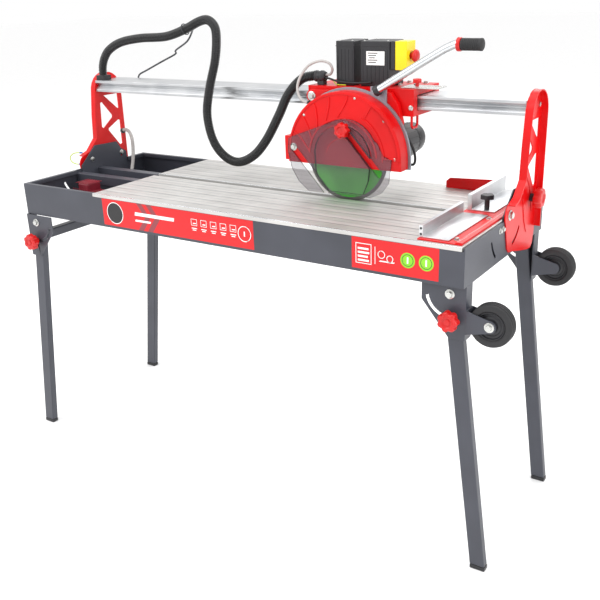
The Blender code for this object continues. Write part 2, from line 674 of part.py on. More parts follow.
def make_carriage(carriage):
    """A casting that wraps the rail with a collar at each end, and what stands on it."""
    front = RAIL_FRONT - CARRIAGE_SIDE_GAP - CARRIAGE_SIDE
    rear = RAIL_FRONT + RAIL_DEPTH + CARRIAGE_SIDE_GAP + CARRIAGE_SIDE
    rail_top = RAIL_BOTTOM + RAIL_HEIGHT
    top = rail_top + CARRIAGE_SIDE_GAP + CARRIAGE_TOP
    bottom = RAIL_BOTTOM - CARRIAGE_SIDE_GAP - CARRIAGE_FLOOR
    casting = block("carriage", (CARRIAGE_LEFT, front, bottom), (CARRIAGE_RIGHT, rear, top), "red_paint",
                    carriage)
    cut(casting, block("carriage_rail_room", (CARRIAGE_LEFT - SHEET, RAIL_FRONT - CARRIAGE_SIDE_GAP,
                                              RAIL_BOTTOM - CARRIAGE_SIDE_GAP),
                       (CARRIAGE_RIGHT + SHEET, RAIL_FRONT + RAIL_DEPTH + CARRIAGE_SIDE_GAP,
                        rail_top + CARRIAGE_SIDE_GAP), "red_paint", carriage))
    cut(casting, block("carriage_waist", (CARRIAGE_LEFT + LEFT_COLLAR_LENGTH, front - SHEET, bottom - SHEET),
                       (CARRIAGE_RIGHT - COLLAR_LENGTH, rear + SHEET, rail_top + CARRIAGE_SIDE_GAP + GAP),
                       "red_paint", carriage))
    base = top + GAP
    stop = [(STOP_PLATE_LEFT, front + 0.014), (STOP_PLATE_RIGHT, front + 0.014),
            (STOP_PLATE_RIGHT, front + 0.074),
            (STOP_PLATE_LEFT, front + 0.074)]
    slot = straight_slot((STOP_PLATE_RIGHT - 0.045, front + 0.056), (STOP_PLATE_RIGHT - 0.014, front + 0.056),
                         0.005)
    plate("stop_plate", "Z", [stop, slot], base, base + SHEET, "zinc", carriage)
    knob_base = base + SHEET + SLIDING_GAP
    lobed_knob("lock_knob", "Z", (CARRIAGE_RIGHT - 0.006, front + 0.030), knob_base + 0.010, 0.010, 0.010,
               0.012,
               "red_plastic", carriage, 5)
    loop_x = CARRIAGE_RIGHT - 0.008
    loop_z = bottom + CARRIAGE_FLOOR / 2
    loop = [(loop_x, front + 0.006, loop_z), (loop_x, front + 0.006, loop_z - 0.032),
            (loop_x, front + 0.012, loop_z - 0.038), (loop_x, front + 0.034, loop_z - 0.038),
            (loop_x, front + 0.040, loop_z - 0.032), (loop_x, front + 0.040, loop_z)]
    join(casting, tube("pull_loop", loop, 0.0035, "red_paint", carriage))
    end_x, end_y, end_z = HOSE_ROUTE[-1]
    gland = rod("cable_gland", "X", (end_y, end_z), end_x + GAP, end_x + 0.034, 0.016, "black_plastic", carriage,
                12)
    join(gland, block("cable_gland_foot", (end_x + 0.010, end_y - 0.010, base), (end_x + 0.030, end_y + 0.010, end_z),
                      "black_plastic", carriage))
    box_front = front + 0.024
    for name, low, high in (("control_box_left", 0.206, 0.262), ("control_box_right", 0.284, BOX_RIGHT)):
        block(name, (low, box_front, base), (high, box_front + BOX_DEPTH, BOX_TOP), "black_plastic", carriage)


def make_switch(carriage, lid_hinge):
    """A safety switch on the right box: a lid with the stop button over the start button."""
    y_low = SWITCH_Y - SWITCH_WIDTH / 2
    y_high = SWITCH_Y + SWITCH_WIDTH / 2
    z_low = BOX_TOP - SWITCH_HEIGHT
    face = BOX_RIGHT + GAP + SWITCH_BASE
    block("switch_base", (BOX_RIGHT + GAP, y_low, z_low), (face, y_high, BOX_TOP), "black_plastic", carriage)
    lid_back = face + SLIDING_GAP
    lid_front = lid_back + SWITCH_LID
    lid = block("switch_lid", (lid_back, y_low, z_low), (lid_front, y_high, BOX_TOP), "yellow_plastic", lid_hinge)
    cut(lid, block("switch_lid_inside", (lid_back - SHEET, y_low + SHEET, z_low + SHEET),
                   (lid_front - SHEET, y_high - SHEET, BOX_TOP - SHEET), "yellow_plastic", lid_hinge))
    middle = (SWITCH_Y, z_low + SWITCH_HEIGHT * 0.48)
    cut(lid, rod("switch_lid_hole", "X", middle, lid_front - 2 * SHEET, lid_front + SHEET, 0.0085,
                 "yellow_plastic", lid_hinge, 16))
    head = lid_front + BUTTON_TRAVEL + SLIDING_GAP
    button = [(0, 0.017), (0.011, 0.016), (0.0165, 0.012), (0.0165, 0.006), (0.011, 0), (0.0075, 0),
              (0.0075, -0.012), (0, -0.012)]
    turned("stop_button", "X", (head, *middle), button, "red_plastic", lid_hinge, 20)
    block("start_button", (face + START_TRAVEL + GAP, SWITCH_Y + 0.004, z_low + 0.012),
          (face + START_TRAVEL + 0.006, SWITCH_Y + 0.018, z_low + 0.026), "green_plastic", carriage)


def disc_outline(radius, start, end, floor, steps=28):
    """An arc round the blade's centre, closed by a level edge at a height."""
    rim = arc((BLADE_X, BLADE_Z), radius, math.radians(start), math.radians(end), steps)
    return rim + [(rim[-1][0], floor), (rim[0][0], floor)]


def make_cover(head):
    cover = plate("blade_cover", "Y", [disc_outline(COVER_RADIUS, -2, 182, COVER_FLOOR)], COVER_FRONT, COVER_BACK,
                  "red_paint", head)
    lug = (BLADE_X - COVER_RADIUS - 0.014, BLADE_X - COVER_RADIUS + 0.006)
    join(cover, block("blade_cover_lug_left", (lug[0], COVER_FRONT + 0.004, COVER_FLOOR + 0.004),
                      (lug[1], COVER_BACK - 0.006, COVER_FLOOR + 0.072), "red_paint", head))
    cut(cover, plate("blade_cover_inside", "Y",
                     [disc_outline(COVER_RADIUS - COVER_WALL, -2, 182, COVER_FLOOR - SHEET)],
                     COVER_FRONT + COVER_WALL, COVER_BACK + SHEET, "red_paint", head))
    near = COVER_BACK + GAP
    back = plate("back_plate", "Y", [disc_outline(COVER_RADIUS + 0.006, -4, 184, COVER_FLOOR - 0.002)], near,
                 near + BACK_PLATE, "cast_metal", head)
    join(back, block("back_plate_handle_tab", (HANDLE_ROOT[0] - 0.020, near + 0.001, HANDLE_ROOT[2] - 0.035),
                     (HANDLE_ROOT[0] + 0.028, near + BACK_PLATE - 0.001, HANDLE_ROOT[2] + 0.012), "cast_metal", head))
    cut(back, rod("back_plate_arbor_hole", "Y", (BLADE_X, BLADE_Z), COVER_BACK - SHEET,
                  near + BACK_PLATE + SHEET, ARBOR_RADIUS + SLIDING_GAP, "cast_metal", head, 16))


def make_arm_and_motor(head):
    near = COVER_BACK + GAP + BACK_PLATE + GAP
    far = RAIL_FRONT - CARRIAGE_SIDE_GAP - CARRIAGE_SIDE - SLIDING_GAP
    nose = arc((HINGE_X, HINGE_Z), ARM_NOSE, math.pi / 2, math.pi * 3 / 2, 8)
    outline = nose + [(0.215, 1.112), (0.270, 1.060), (0.318, 0.985)]
    outline += arc((MOTOR_X, MOTOR_Z), MOTOR_RADIUS + 0.006, math.radians(215), math.radians(372), 12)
    outline += [(0.430, 1.092), (0.418, 1.140), (0.396, HINGE_Z + ARM_NOSE)]
    plate("head_arm", "Y", [outline], near, far, "red_paint", head, origin=(HINGE_X, HINGE_Z))
    start = far + GAP
    length = MOTOR_END - start
    profile = [(0, MOTOR_END), (MOTOR_RADIUS * 0.6, MOTOR_END), (MOTOR_RADIUS * 0.84, MOTOR_END - 0.012),
               (MOTOR_RADIUS * 0.88, MOTOR_END - length * 0.3), (MOTOR_RADIUS, MOTOR_END - length * 0.34),
               (MOTOR_RADIUS, start), (0, start)]
    turned("motor", "Y", (MOTOR_X, 0, MOTOR_Z), profile, "black_plastic", head)


def make_blade(axle):
    half = BLADE_THICKNESS / 2
    blade = rod("blade", "Y", (BLADE_X, BLADE_Z), -half, half, BLADE_RADIUS, "green_blade", axle, 48)
    join(blade, rod("blade_flange", "Y", (BLADE_X, BLADE_Z), -0.0045, 0.0045, 0.028, "zinc", axle))
    join(blade, rod("blade_arbor", "Y", (BLADE_X, BLADE_Z), COVER_FRONT + COVER_WALL + SLIDING_GAP,
                    COVER_BACK + GAP + BACK_PLATE, ARBOR_RADIUS, "zinc", axle, 12))


def guard_slots():
    way = (-math.cos(GUARD_RISE), -math.sin(GUARD_RISE))
    tops = ((GUARD_BOLT_X, GUARD_BOLT_Z), (GUARD_KNOB_X, GUARD_KNOB_Z))
    return [straight_slot(top, [a + b * GUARD_SLOT_LENGTH for a, b in zip(top, way)], GUARD_SLOT_HALF)
            for top in tops]


def make_guard(slide, head):
    """A clear sheet with a raised arch, that slides up along two slots in front of the cover."""
    back = COVER_FRONT - SLIDING_GAP
    front = back - GUARD_SHEET
    floor = TRAY_TOP + GUARD_CLEARANCE
    sheet = [(0.165, floor), (0.366, floor), (0.400, floor + 0.016), (0.421, floor + 0.045), (0.429, 1.000),
             (0.404, 1.010), (0.386, 1.042)]
    sheet += arc((0.290, 1.006), 0.096, math.radians(28), math.radians(118), 9)
    sheet += [(0.120, 1.046), (0.103, 1.038), (0.100, 1.000), (0.111, 0.953), (0.133, 0.918)]
    guard = plate("guard", "Y", [sheet], front, back, "smoke_plastic", slide)
    arch = arc((0.280, 0.998), 0.088, math.radians(-8), math.radians(172), 14)
    arch += [(0.196, 0.950), (0.226, floor + GUARD_BULGE), (0.345, floor + GUARD_BULGE), (0.362, 0.940)]
    join(guard, plate("guard_bulge", "Y", [arch], front - GUARD_BULGE, front + GUARD_SHEET / 2, "smoke_plastic",
                      slide))
    for number, slot in enumerate(guard_slots()):
        cut(guard, plate(f"guard_slot_{number}", "Y", [slot], front - 3 * GUARD_BULGE, back + SHEET,
                         "smoke_plastic", slide))
    base = front - GUARD_BULGE - SLIDING_GAP
    stem = COVER_FRONT - GAP - base
    lobed_knob("guard_knob", "Y", (GUARD_KNOB_X, GUARD_KNOB_Z), base, -KNOB_HEIGHT, stem, GUARD_KNOB_SIZE,
               "red_plastic", head, 7)
    return guard


def make_handle(head):
    handle = tube("handle", HANDLE_ROUTE, HANDLE_RADIUS, "aluminium", head, 3)
    end_x, end_y, end_z = HANDLE_ROUTE[-1]
    rod("handle_grip", "X", (end_y, end_z), end_x + GAP, end_x + GRIP_LENGTH, GRIP_RADIUS, "black_rubber", head,
        16)
    return handle


def make_fences(frame, rear_slide, arm_hinge):
    """The square fence at the right end, in a fixed and a sliding part, and the mitre arm."""
    base = TRAY_TOP + GAP
    block("fence_base", (FENCE_LEFT, FENCE_FRONT, base), (FENCE_RIGHT, FENCE_REAR, base + SHEET), "red_paint",
          frame)
    floor = base + SHEET + GAP
    wall = FENCE_LEFT + 0.010
    front = [(FENCE_LEFT, floor), (FENCE_RIGHT - 0.036, floor), (FENCE_RIGHT - 0.036, floor + SHEET),
             (wall, floor + SHEET), (wall, floor + 0.030), (FENCE_LEFT, floor + 0.030)]
    plate("fence_front", "Y", [front], FENCE_FRONT + 0.010, FENCE_SPLIT - 0.030, "aluminium", frame)
    rear = [(FENCE_LEFT + 0.006, floor), (FENCE_RIGHT - 0.032, floor), (FENCE_RIGHT - 0.032, floor + SHEET),
            (wall + 0.008, floor + SHEET), (wall + 0.008, floor + 0.042), (FENCE_LEFT + 0.006, floor + 0.042)]
    plate("fence_rear", "Y", [rear], FENCE_SPLIT + 0.004, FENCE_REAR, "aluminium", rear_slide)
    lobed_knob("fence_knob", "Z", (FENCE_KNOB_X, FENCE_KNOB_Y), floor + SHEET + GAP + 0.026, 0.012, 0.026, 0.018,
               "black_plastic", rear_slide, 5)
    arm_base = TRAY_TOP + GAP
    pivot = (FENCE_LEFT - ARM_THICKNESS, FENCE_REAR - 0.030)
    outline = [(pivot[0] + 0.010, arm_base), (pivot[0] + 0.010, arm_base + 0.036),
               (pivot[0] - MITRE_ARM_LENGTH + 0.012, arm_base + 0.030),
               (pivot[0] - MITRE_ARM_LENGTH, arm_base + 0.020), (pivot[0] - MITRE_ARM_LENGTH, arm_base)]
    arm = plate("mitre_arm", "Y", [outline], pivot[1] - 0.0015, pivot[1] + 0.0015, "red_paint", arm_hinge)
    join(arm, block("mitre_arm_foot", (pivot[0] - MITRE_ARM_LENGTH * 0.8, pivot[1] + 0.0005, arm_base),
                    (pivot[0] + 0.006, pivot[1] + 0.020, arm_base + SHEET), "red_paint", arm_hinge))
    join(arm, rod("mitre_knob", "Z", (pivot[0] - 0.004, pivot[1] + 0.011), arm_base + SHEET / 2, arm_base + 0.024,
                  0.008, "black_plastic", arm_hinge, 10))


def build_saw():
    left = leg_point("left", leg_end(0, FOOT_HEIGHT / 2), 0)[0] - LEG_WIDTH / 2 / math.cos(LEG_SPLAY)
    middle = (WHEEL_X + WHEEL_RADIUS + left) / 2
    frame = bpy.data.objects.new("wet_tile_saw", None)
    saw.objects.link(frame)
    frame["place"] = (0.0, 0.0, 0.0)
    frame.location = (-middle, 0, 0)
    make_tray(frame)
    make_beams(frame)
    make_tables(frame)
    make_tilt_brackets(frame)
    make_pump(frame)
    left_legs = axis_empty("left_legs_pivot", (-LEG_PIVOT_X, 0, LEG_PIVOT_Z), frame)
    make_crossbar(left_legs)
    for row in ROWS:
        make_leg_bracket("left", row, frame)
        make_leg("left", row, left_legs)
        make_wheel(row, make_leg_bracket("right", row, frame), frame)
        make_leg("right", row, axis_empty(f"right_leg_{row}_pivot", (LEG_PIVOT_X, 0, LEG_PIVOT_Z), frame))
    bridge = axis_empty("bridge_pivot", (0, 0, TILT_Z), frame)
    make_bridge(bridge)
    carriage = axis_empty("carriage_slide", (BLADE_X, RAIL_FRONT, RAIL_BOTTOM), bridge)
    make_carriage(carriage)
    lid = (BOX_RIGHT + GAP + SWITCH_BASE + SLIDING_GAP / 2, SWITCH_Y, BOX_TOP + SLIDING_GAP)
    make_switch(carriage, axis_empty("switch_lid_hinge", lid, carriage))
    head = axis_empty("plunge_hinge", (HINGE_X, RAIL_FRONT, HINGE_Z), carriage)
    make_cover(head)
    make_arm_and_motor(head)
    make_blade(axis_empty("blade_axle", (BLADE_X, 0, BLADE_Z), head))
    make_guard(axis_empty("guard_slide", (GUARD_KNOB_X, COVER_FRONT, GUARD_KNOB_Z), head), head)
    make_handle(head)
    rear_slide = axis_empty("rear_fence_slide", (FENCE_LEFT, FENCE_SPLIT, TRAY_TOP), frame)
    arm_hinge = axis_empty("mitre_arm_hinge", (FENCE_LEFT - ARM_THICKNESS, FENCE_REAR - 0.030, TRAY_TOP), frame)
    make_fences(frame, rear_slide, arm_hinge)


clear_scene()
saw = new_collection("Wet tile saw")
cutters = new_collection("Cutters")
build_saw()
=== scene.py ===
"""The looks of a wet tile saw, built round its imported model: laid out as an add-on, run as a script."""
import json
import math

import bmesh
import bpy
from mathutils import Matrix, Vector


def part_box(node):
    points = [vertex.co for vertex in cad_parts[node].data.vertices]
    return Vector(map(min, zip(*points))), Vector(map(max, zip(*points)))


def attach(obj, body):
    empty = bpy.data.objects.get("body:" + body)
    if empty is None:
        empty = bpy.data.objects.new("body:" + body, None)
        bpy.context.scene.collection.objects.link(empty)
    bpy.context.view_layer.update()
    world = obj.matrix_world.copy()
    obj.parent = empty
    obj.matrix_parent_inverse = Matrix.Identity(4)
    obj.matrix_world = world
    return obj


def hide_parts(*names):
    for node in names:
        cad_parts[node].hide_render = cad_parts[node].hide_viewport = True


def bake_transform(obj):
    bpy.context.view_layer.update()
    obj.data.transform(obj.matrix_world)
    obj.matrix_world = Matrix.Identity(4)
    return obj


bl_info = {
    "name": "Wet Tile Saw Looks",
    "version": (1, 0, 0),
    "blender": (4, 5, 0),
    "location": "View3D > Sidebar > Tile Saw",
    "description": "Builds the visible surfaces of a bridge-type wet tile saw round its model",
    "category": "Object",
}

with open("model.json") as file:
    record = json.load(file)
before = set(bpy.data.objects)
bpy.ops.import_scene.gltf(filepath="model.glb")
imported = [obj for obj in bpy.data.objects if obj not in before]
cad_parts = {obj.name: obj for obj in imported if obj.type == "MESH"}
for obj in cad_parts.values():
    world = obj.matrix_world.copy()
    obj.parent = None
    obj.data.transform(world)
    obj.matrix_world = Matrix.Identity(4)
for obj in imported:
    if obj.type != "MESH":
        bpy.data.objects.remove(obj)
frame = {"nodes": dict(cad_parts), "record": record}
for given in list(bpy.data.materials):
    given.name = "record." + given.name
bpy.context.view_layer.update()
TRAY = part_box("tray")
CENTRE_X = (TRAY[0][0] + TRAY[1][0]) / 2
TAU = math.tau
LEG_PIVOT = (0.709, 0.7550)
TILT_AXIS_HEIGHT = 0.8877
RAIL_HEIGHT = 1.139
COLUMN_FACE = 0.7533
BODY_OF = {name: body for body, names in frame["record"]["behaviour"]["bodies"].items() for name in names}
finishes = {}


def at(x, y, z):
    """A place measured from the middle of the tray, as the saw's maker measures it."""
    return Vector((x + CENTRE_X, y, z))


def linear(colour):
    """An sRGB hex colour as linear RGBA."""
    parts = [int(colour[i:i + 2], 16) / 255 for i in (1, 3, 5)]
    return (*[c / 12.92 if c <= 0.04045 else ((c + 0.055) / 1.055) ** 2.4 for c in parts], 1.0)


def node(tree, kind, values=None, links=None, **settings):
    """Adds one shader node with its settings, input values and links."""
    made = tree.nodes.new(kind)
    for name, value in settings.items():
        setattr(made, name, value)
    for name, value in (values or {}).items():
        made.inputs[name].default_value = value
    for name, source in (links or {}).items():
        tree.links.new(source, made.inputs[name])
    return made


def finish(name, light, dark, roughness, grain, stretch=(1, 1, 1), metallic=0.0, bump=0.0, rough_change=0.08,
           spots=None, **fixed):
    """A surface whose colour and roughness wander over a grain of a real size in metres."""
    if name in finishes:
        return finishes[name]
    material = bpy.data.materials.new(name)
    material.use_nodes = True
    tree = material.node_tree
    shader = tree.nodes["Principled BSDF"]
    shader.inputs["Metallic"].default_value = metallic
    for socket, value in fixed.items():
        shader.inputs[socket.replace("_", " ")].default_value = value
    place = node(tree, "ShaderNodeTexCoord")
    scale = node(tree, "ShaderNodeMapping", {"Scale": [s / grain for s in stretch]},
                 {"Vector": place.outputs["Object"]})
    fine = node(tree, "ShaderNodeTexNoise", {"Scale": 1.0, "Detail": 4.0, "Roughness": 0.6},
                {"Vector": scale.outputs["Vector"]})
    broad = node(tree, "ShaderNodeTexNoise", {"Scale": 9.0, "Detail": 2.0},
                 {"Vector": place.outputs["Object"]})
    blend = node(tree, "ShaderNodeMath", operation="MULTIPLY_ADD")
    blend.inputs[1].default_value = 0.5
    tree.links.new(fine.outputs["Fac"], blend.inputs[0])
    tree.links.new(broad.outputs["Fac"], blend.inputs[2])
    share = node(tree, "ShaderNodeMapRange", {"From Min": 0.55, "From Max": 0.95},
                 {"Value": blend.outputs[0]})
    colour = node(tree, "ShaderNodeMix", data_type="RGBA")
    colour.inputs[6].default_value = linear(dark) if isinstance(dark, str) else dark
    colour.inputs[7].default_value = linear(light) if isinstance(light, str) else light
    tree.links.new(share.outputs["Result"], colour.inputs[0])
    tree.links.new(colour.outputs[2], shader.inputs["Base Color"])
    gloss = node(tree, "ShaderNodeMapRange",
                 {"To Min": roughness - rough_change, "To Max": roughness + rough_change},
                 {"Value": fine.outputs["Fac"]})
    tree.links.new(gloss.outputs["Result"], shader.inputs["Roughness"])
    if bump:
        relief = node(tree, "ShaderNodeBump", {"Strength": 0.6, "Distance": bump},
                      {"Height": fine.outputs["Fac"]})
        tree.links.new(relief.outputs["Normal"], shader.inputs["Normal"])
    if spots:
        add_spots(tree, place, colour, shader, spots)
    finishes[name] = material
    return material


def add_spots(tree, place, colour, shader, spots):
    """Specks of dried cutting slurry or handling wear over a surface."""
    tint, size, amount = spots
    specks = node(tree, "ShaderNodeTexNoise", {"Scale": 1 / size, "Detail": 6.0, "Roughness": 0.75},
                  {"Vector": place.outputs["Object"]})
    edge = node(tree, "ShaderNodeMapRange", {"From Min": 0.74 - amount, "From Max": 0.80 - amount},
                {"Value": specks.outputs["Fac"]})
    over = node(tree, "ShaderNodeMix", data_type="RGBA")
    over.inputs[7].default_value = linear(tint)
    tree.links.new(edge.outputs["Result"], over.inputs[0])
    tree.links.new(colour.outputs[2], over.inputs[6])
    tree.links.new(over.outputs[2], shader.inputs["Base Color"])


def shades_of(colour):
    """A colour and the slightly darker shade that its coat wanders to."""
    return (*colour, 1.0), (*[c * 0.80 for c in colour], 1.0)


def grey_powder_coat():
    """Blue-grey polyester powder baked on sheet steel: satin, with the orange peel that baking leaves."""
    light, dark = shades_of(looks().pan_grey)
    return finish("grey_powder_coat", light, dark, 0.40, 0.0011, bump=0.00008, spots=("#4C4E57", 0.03, 0.03))


def red_powder_coat():
    """Red polyester powder baked on steel and castings: glossier, so studio lights draw soft streaks."""
    light, dark = shades_of(looks().paint_red)
    return finish("red_powder_coat", light, dark, 0.34, 0.0012, bump=0.00007, Specular_IOR_Level=0.25,
                  Coat_Weight=0.10, Coat_Roughness=0.15)


def extruded_aluminium():
    """Mill-finish extrusion: die lines run along the length, so highlights smear across them."""
    return finish("extruded_aluminium", "#D4D5D6", "#B9BBBE", 0.36, 0.0016, stretch=(0.02, 1, 1),
                  metallic=1.0,
                  bump=0.00004, rough_change=0.10)


def crosswise_aluminium():
    """The same mill-finish extrusion, laid across the saw, so its die lines run along Y."""
    return finish("crosswise_aluminium", "#DCDDDE", "#C2C4C7", 0.34, 0.0016, stretch=(1, 0.02, 1),
                  metallic=1.0,
                  bump=0.00004, rough_change=0.10)


def table_aluminium():
    """Anodised table sheet: die lines along the length and a faint grey film left by cutting slurry."""
    return finish("table_aluminium", "#D2D0CD", "#C3C1BE", 0.50, 0.0020, stretch=(0.015, 1, 1), metallic=0.55,
                  bump=0.00003, rough_change=0.06, spots=("#C9C6C1", 0.012, 0.04))


def cast_aluminium():
    """Sand-cast aluminium under clear lacquer: pebbled, dull and slightly blue."""
    return finish("cast_aluminium", "#9FA8B0", "#89929B", 0.50, 0.0018, metallic=0.7, bump=0.00015)


def bright_zinc():
    """Zinc-plated fasteners: bright and faintly cloudy where the plating crystals change."""
    return finish("bright_zinc", "#D6D6D2", "#B4B5B3", 0.26, 0.0025, metallic=1.0, bump=0.00003)


def dull_wire():
    """Drawn steel wire, blackened by heat: dark, half dull, with the die's faint lines."""
    return finish("dull_wire", "#5E5F62", "#434447", 0.44, 0.0012, metallic=1.0, bump=0.00002)


def polished_tube():
    """Chromed handle tube: nearly a mirror, with faint polishing lines along it."""
    return finish("polished_tube", "#E2E4E6", "#CBCED1", 0.16, 0.0014, stretch=(0.05, 1, 1), metallic=1.0,
                  bump=0.00002, rough_change=0.05)


def black_moulding():
    """Moulded ABS with a spark-eroded texture: soft highlights on near-black."""
    return finish("black_moulding", "#26262A", "#1B1B1E", 0.44, 0.0009, bump=0.00009)


def black_rubber():
    """Moulded rubber: matt, a little greyed by handling and floor dust."""
    return finish("black_rubber", "#222224", "#171718", 0.62, 0.0012, bump=0.00010,
                  spots=("#37373A", 0.008, 0.03))


def hose_plastic():
    """Corrugated polyamide conduit: glossy black, each rib catching a thin line of light."""
    return finish("hose_plastic", "#17181A", "#101113", 0.28, 0.0015, bump=0.00003)


def red_moulding():
    """Injection-moulded nylon knobs: clean red with a fine moulded sheen."""
    return finish("red_moulding", "#D0100F", "#BE0A08", 0.32, 0.0010, bump=0.00005)


def pump_plastic():
    """Dull dark-red pump housing, dusted by slurry."""
    return finish("pump_plastic", "#8C1A2C", "#6E1322", 0.50, 0.0014, bump=0.00008,
                  spots=("#9A5560", 0.01, 0.06))


def yellow_moulding():
    """Glossy yellow switch cap."""
    return finish("yellow_moulding", "#F7E01E", "#EBCF0C", 0.28, 0.0010, bump=0.00004)


def green_button():
    """Glossy green push button."""
    return finish("green_button", "#27A844", "#1D9238", 0.28, 0.0010, bump=0.00003)


def blade_paint():
    """Green lacquer on the steel blade core, thinned to metal by running."""
    return finish("blade_paint", "#5FD84A", "#46C23C", 0.40, 0.0030, metallic=0.05, bump=0.00003)


def diamond_rim():
    """Sintered diamond rim: grey-brown metal bond with exposed grit."""
    return finish("diamond_rim", "#8B8B86", "#6C6C66", 0.60, 0.0008, metallic=0.6, bump=0.00015)


def decal_red():
    """Printed vinyl: flat red under a clear satin film."""
    return finish("decal_red", "#D80510", "#CE030C", 0.36, 0.0040, bump=0.00001)


def decal_white():
    """White print on vinyl."""
    return finish("decal_white", "#F4F4F2", "#EAEAE8", 0.34, 0.0040, bump=0.00001)


def decal_grey():
    """Grey-red shade print on the vinyl."""
    return finish("decal_grey", "#8E3B42", "#82333A", 0.34, 0.0040, bump=0.00001)


def decal_black():
    """Black print on vinyl."""
    return finish("decal_black", "#1C1A1C", "#151315", 0.34, 0.0040, bump=0.00001)


def decal_green():
    """Lime print on vinyl."""
    return finish("decal_green", "#8FD428", "#7CC41F", 0.34, 0.0040, bump=0.00001)


def water_tube_plastic():
    """Grey flexible water tube, ribbed and slightly milky."""
    return finish("water_tube_plastic", "#B7B3B0", "#9C9896", 0.38, 0.0015, bump=0.00005)


def earth_wire():
    """Green and yellow earth lead."""
    return finish("earth_wire", "#D8DE2A", "#A9C722", 0.40, 0.0030)


def smoked_sheet(name="smoked_sheet", tint="#625A64", cover=0.30):
    """Clear polycarbonate with a grey-violet smoke: thin and glossy, faintly scuffed where hands lift it."""
    return finish(name, tint, tint, 0.09, 0.004, rough_change=0.05, bump=0.00002, Alpha=cover,
                  Specular_IOR_Level=0.35, Coat_Weight=0.2, Coat_Roughness=0.06)


def smoked_edge():
    """The cut edge of the smoked sheet, which gathers the tint and looks nearly opaque."""
    return smoked_sheet("smoked_edge", "#2E292F", 0.92)


def keep(mesh_data, name, material, body, *nodes, bevel=0.0, segments=2, angle=38.0):
    """Makes an object of a bmesh, gives it its finish and body, and hides the CAD nodes it stands for."""
    bmesh.ops.remove_doubles(mesh_data, verts=mesh_data.verts, dist=0.00002)
    bmesh.ops.recalc_face_normals(mesh_data, faces=mesh_data.faces)
    mesh = bpy.data.meshes.new(name)
    mesh_data.to_mesh(mesh)
    mesh_data.free()
    return place(mesh, name, material, body, *nodes, bevel=bevel, segments=segments, angle=angle)


def place(mesh, name, material, body, *nodes, bevel=0.0, segments=2, angle=38.0):
    """Links a finished mesh, rounds its edges and attaches it to the frame."""
    piece = bpy.data.objects.new(name, mesh)
    bpy.context.scene.collection.objects.link(piece)
    for one in material if isinstance(material, (list, tuple)) else [material]:
        mesh.materials.append(one)
    if bevel:
        rounding = piece.modifiers.new("Edges", "BEVEL")
        rounding.width = bevel
        rounding.segments = segments
        rounding.limit_method = "ANGLE"
        rounding.angle_limit = math.radians(angle)
        rounding.harden_normals = True
    mesh.shade_smooth()
    mesh.set_sharp_from_angle(angle=math.radians(angle))
    if nodes:
        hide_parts(*nodes)
    if body:
        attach(piece, body)
    return piece


def softened(name, material, width=0.0006, segments=2, angle=38.0, body="its own"):
    """A copy of a CAD node with its triangles joined into flats and its edges rounded to catch light."""
    shape = bmesh.new()
    shape.from_mesh(frame["nodes"][name].data)
    bmesh.ops.remove_doubles(shape, verts=shape.verts, dist=0.00002)
    bmesh.ops.dissolve_limit(shape, angle_limit=math.radians(1.0), verts=shape.verts, edges=shape.edges)
    mesh = bpy.data.meshes.new(name + ".finished")
    shape.to_mesh(mesh)
    shape.free()
    body = BODY_OF[name] if body == "its own" else body
    return place(mesh, name + ".finished", material, body, name, bevel=width, segments=segments, angle=angle)


def facing(direction, start, spin=0.0):
    """A matrix that stands a shape made along Z on a point, facing a direction."""
    turn = Vector(direction).to_track_quat("Z", "Y").to_matrix().to_4x4()
    return Matrix.Translation(start) @ turn @ Matrix.Rotation(spin, 4, "Z")


def lathe(shape, profile, start, direction, steps=32, spin=0.0):
    """Spins a profile of (radius, height) pairs round a direction from a point."""
    ring = [shape.verts.new((radius, 0, height)) for radius, height in profile]
    edges = [shape.edges.new(pair) for pair in zip(ring, ring[1:])]
    bmesh.ops.spin(shape, geom=ring + edges, cent=(0, 0, 0), axis=(0, 0, 1), angle=TAU, steps=steps,
                          use_merge=True)
    whole = connected(ring[0])
    bmesh.ops.transform(shape, matrix=facing(direction, start, spin), verts=whole)
    return whole


def connected(start):
    """Every vertex joined to this one."""
    seen = {start}
    waiting = [start]
    while waiting:
        for edge in waiting.pop().link_edges:
            for vert in edge.verts:
                if vert not in seen:
                    seen.add(vert)
                    waiting.append(vert)
    return list(seen)


def box(shape, low, high):
    """A block between two corners."""
    low, high = Vector(low), Vector(high)
    size = Matrix.Diagonal((*(high - low), 1))
    return bmesh.ops.create_cube(shape, size=1, matrix=Matrix.Translation((low + high) / 2) @ size)["verts"]


def drum(shape, radius, depth, start, direction, steps=32, top=None, spin=0.0):
    """A round bar standing on a point."""
    move = facing(direction, start, spin) @ Matrix.Translation((0, 0, depth / 2))
    return bmesh.ops.create_cone(shape, cap_ends=True, segments=steps, radius1=radius,
                                 radius2=radius if top is None else top, depth=depth, matrix=move)["verts"]


def prism(shape, outline, depth, matrix):
    """Extrudes a flat outline of (x, y) pairs along Z and puts it in place."""
    face = shape.faces.new([shape.verts.new((*point, 0)) for point in outline])
    grown = bmesh.ops.extrude_face_region(shape, geom=[face])["geom"]
    top = [g for g in grown if isinstance(g, bmesh.types.BMVert)]
    bmesh.ops.translate(shape, verts=top, vec=(0, 0, depth))
    verts = connected(top[0])
    bmesh.ops.transform(shape, matrix=matrix, verts=verts)
    return verts


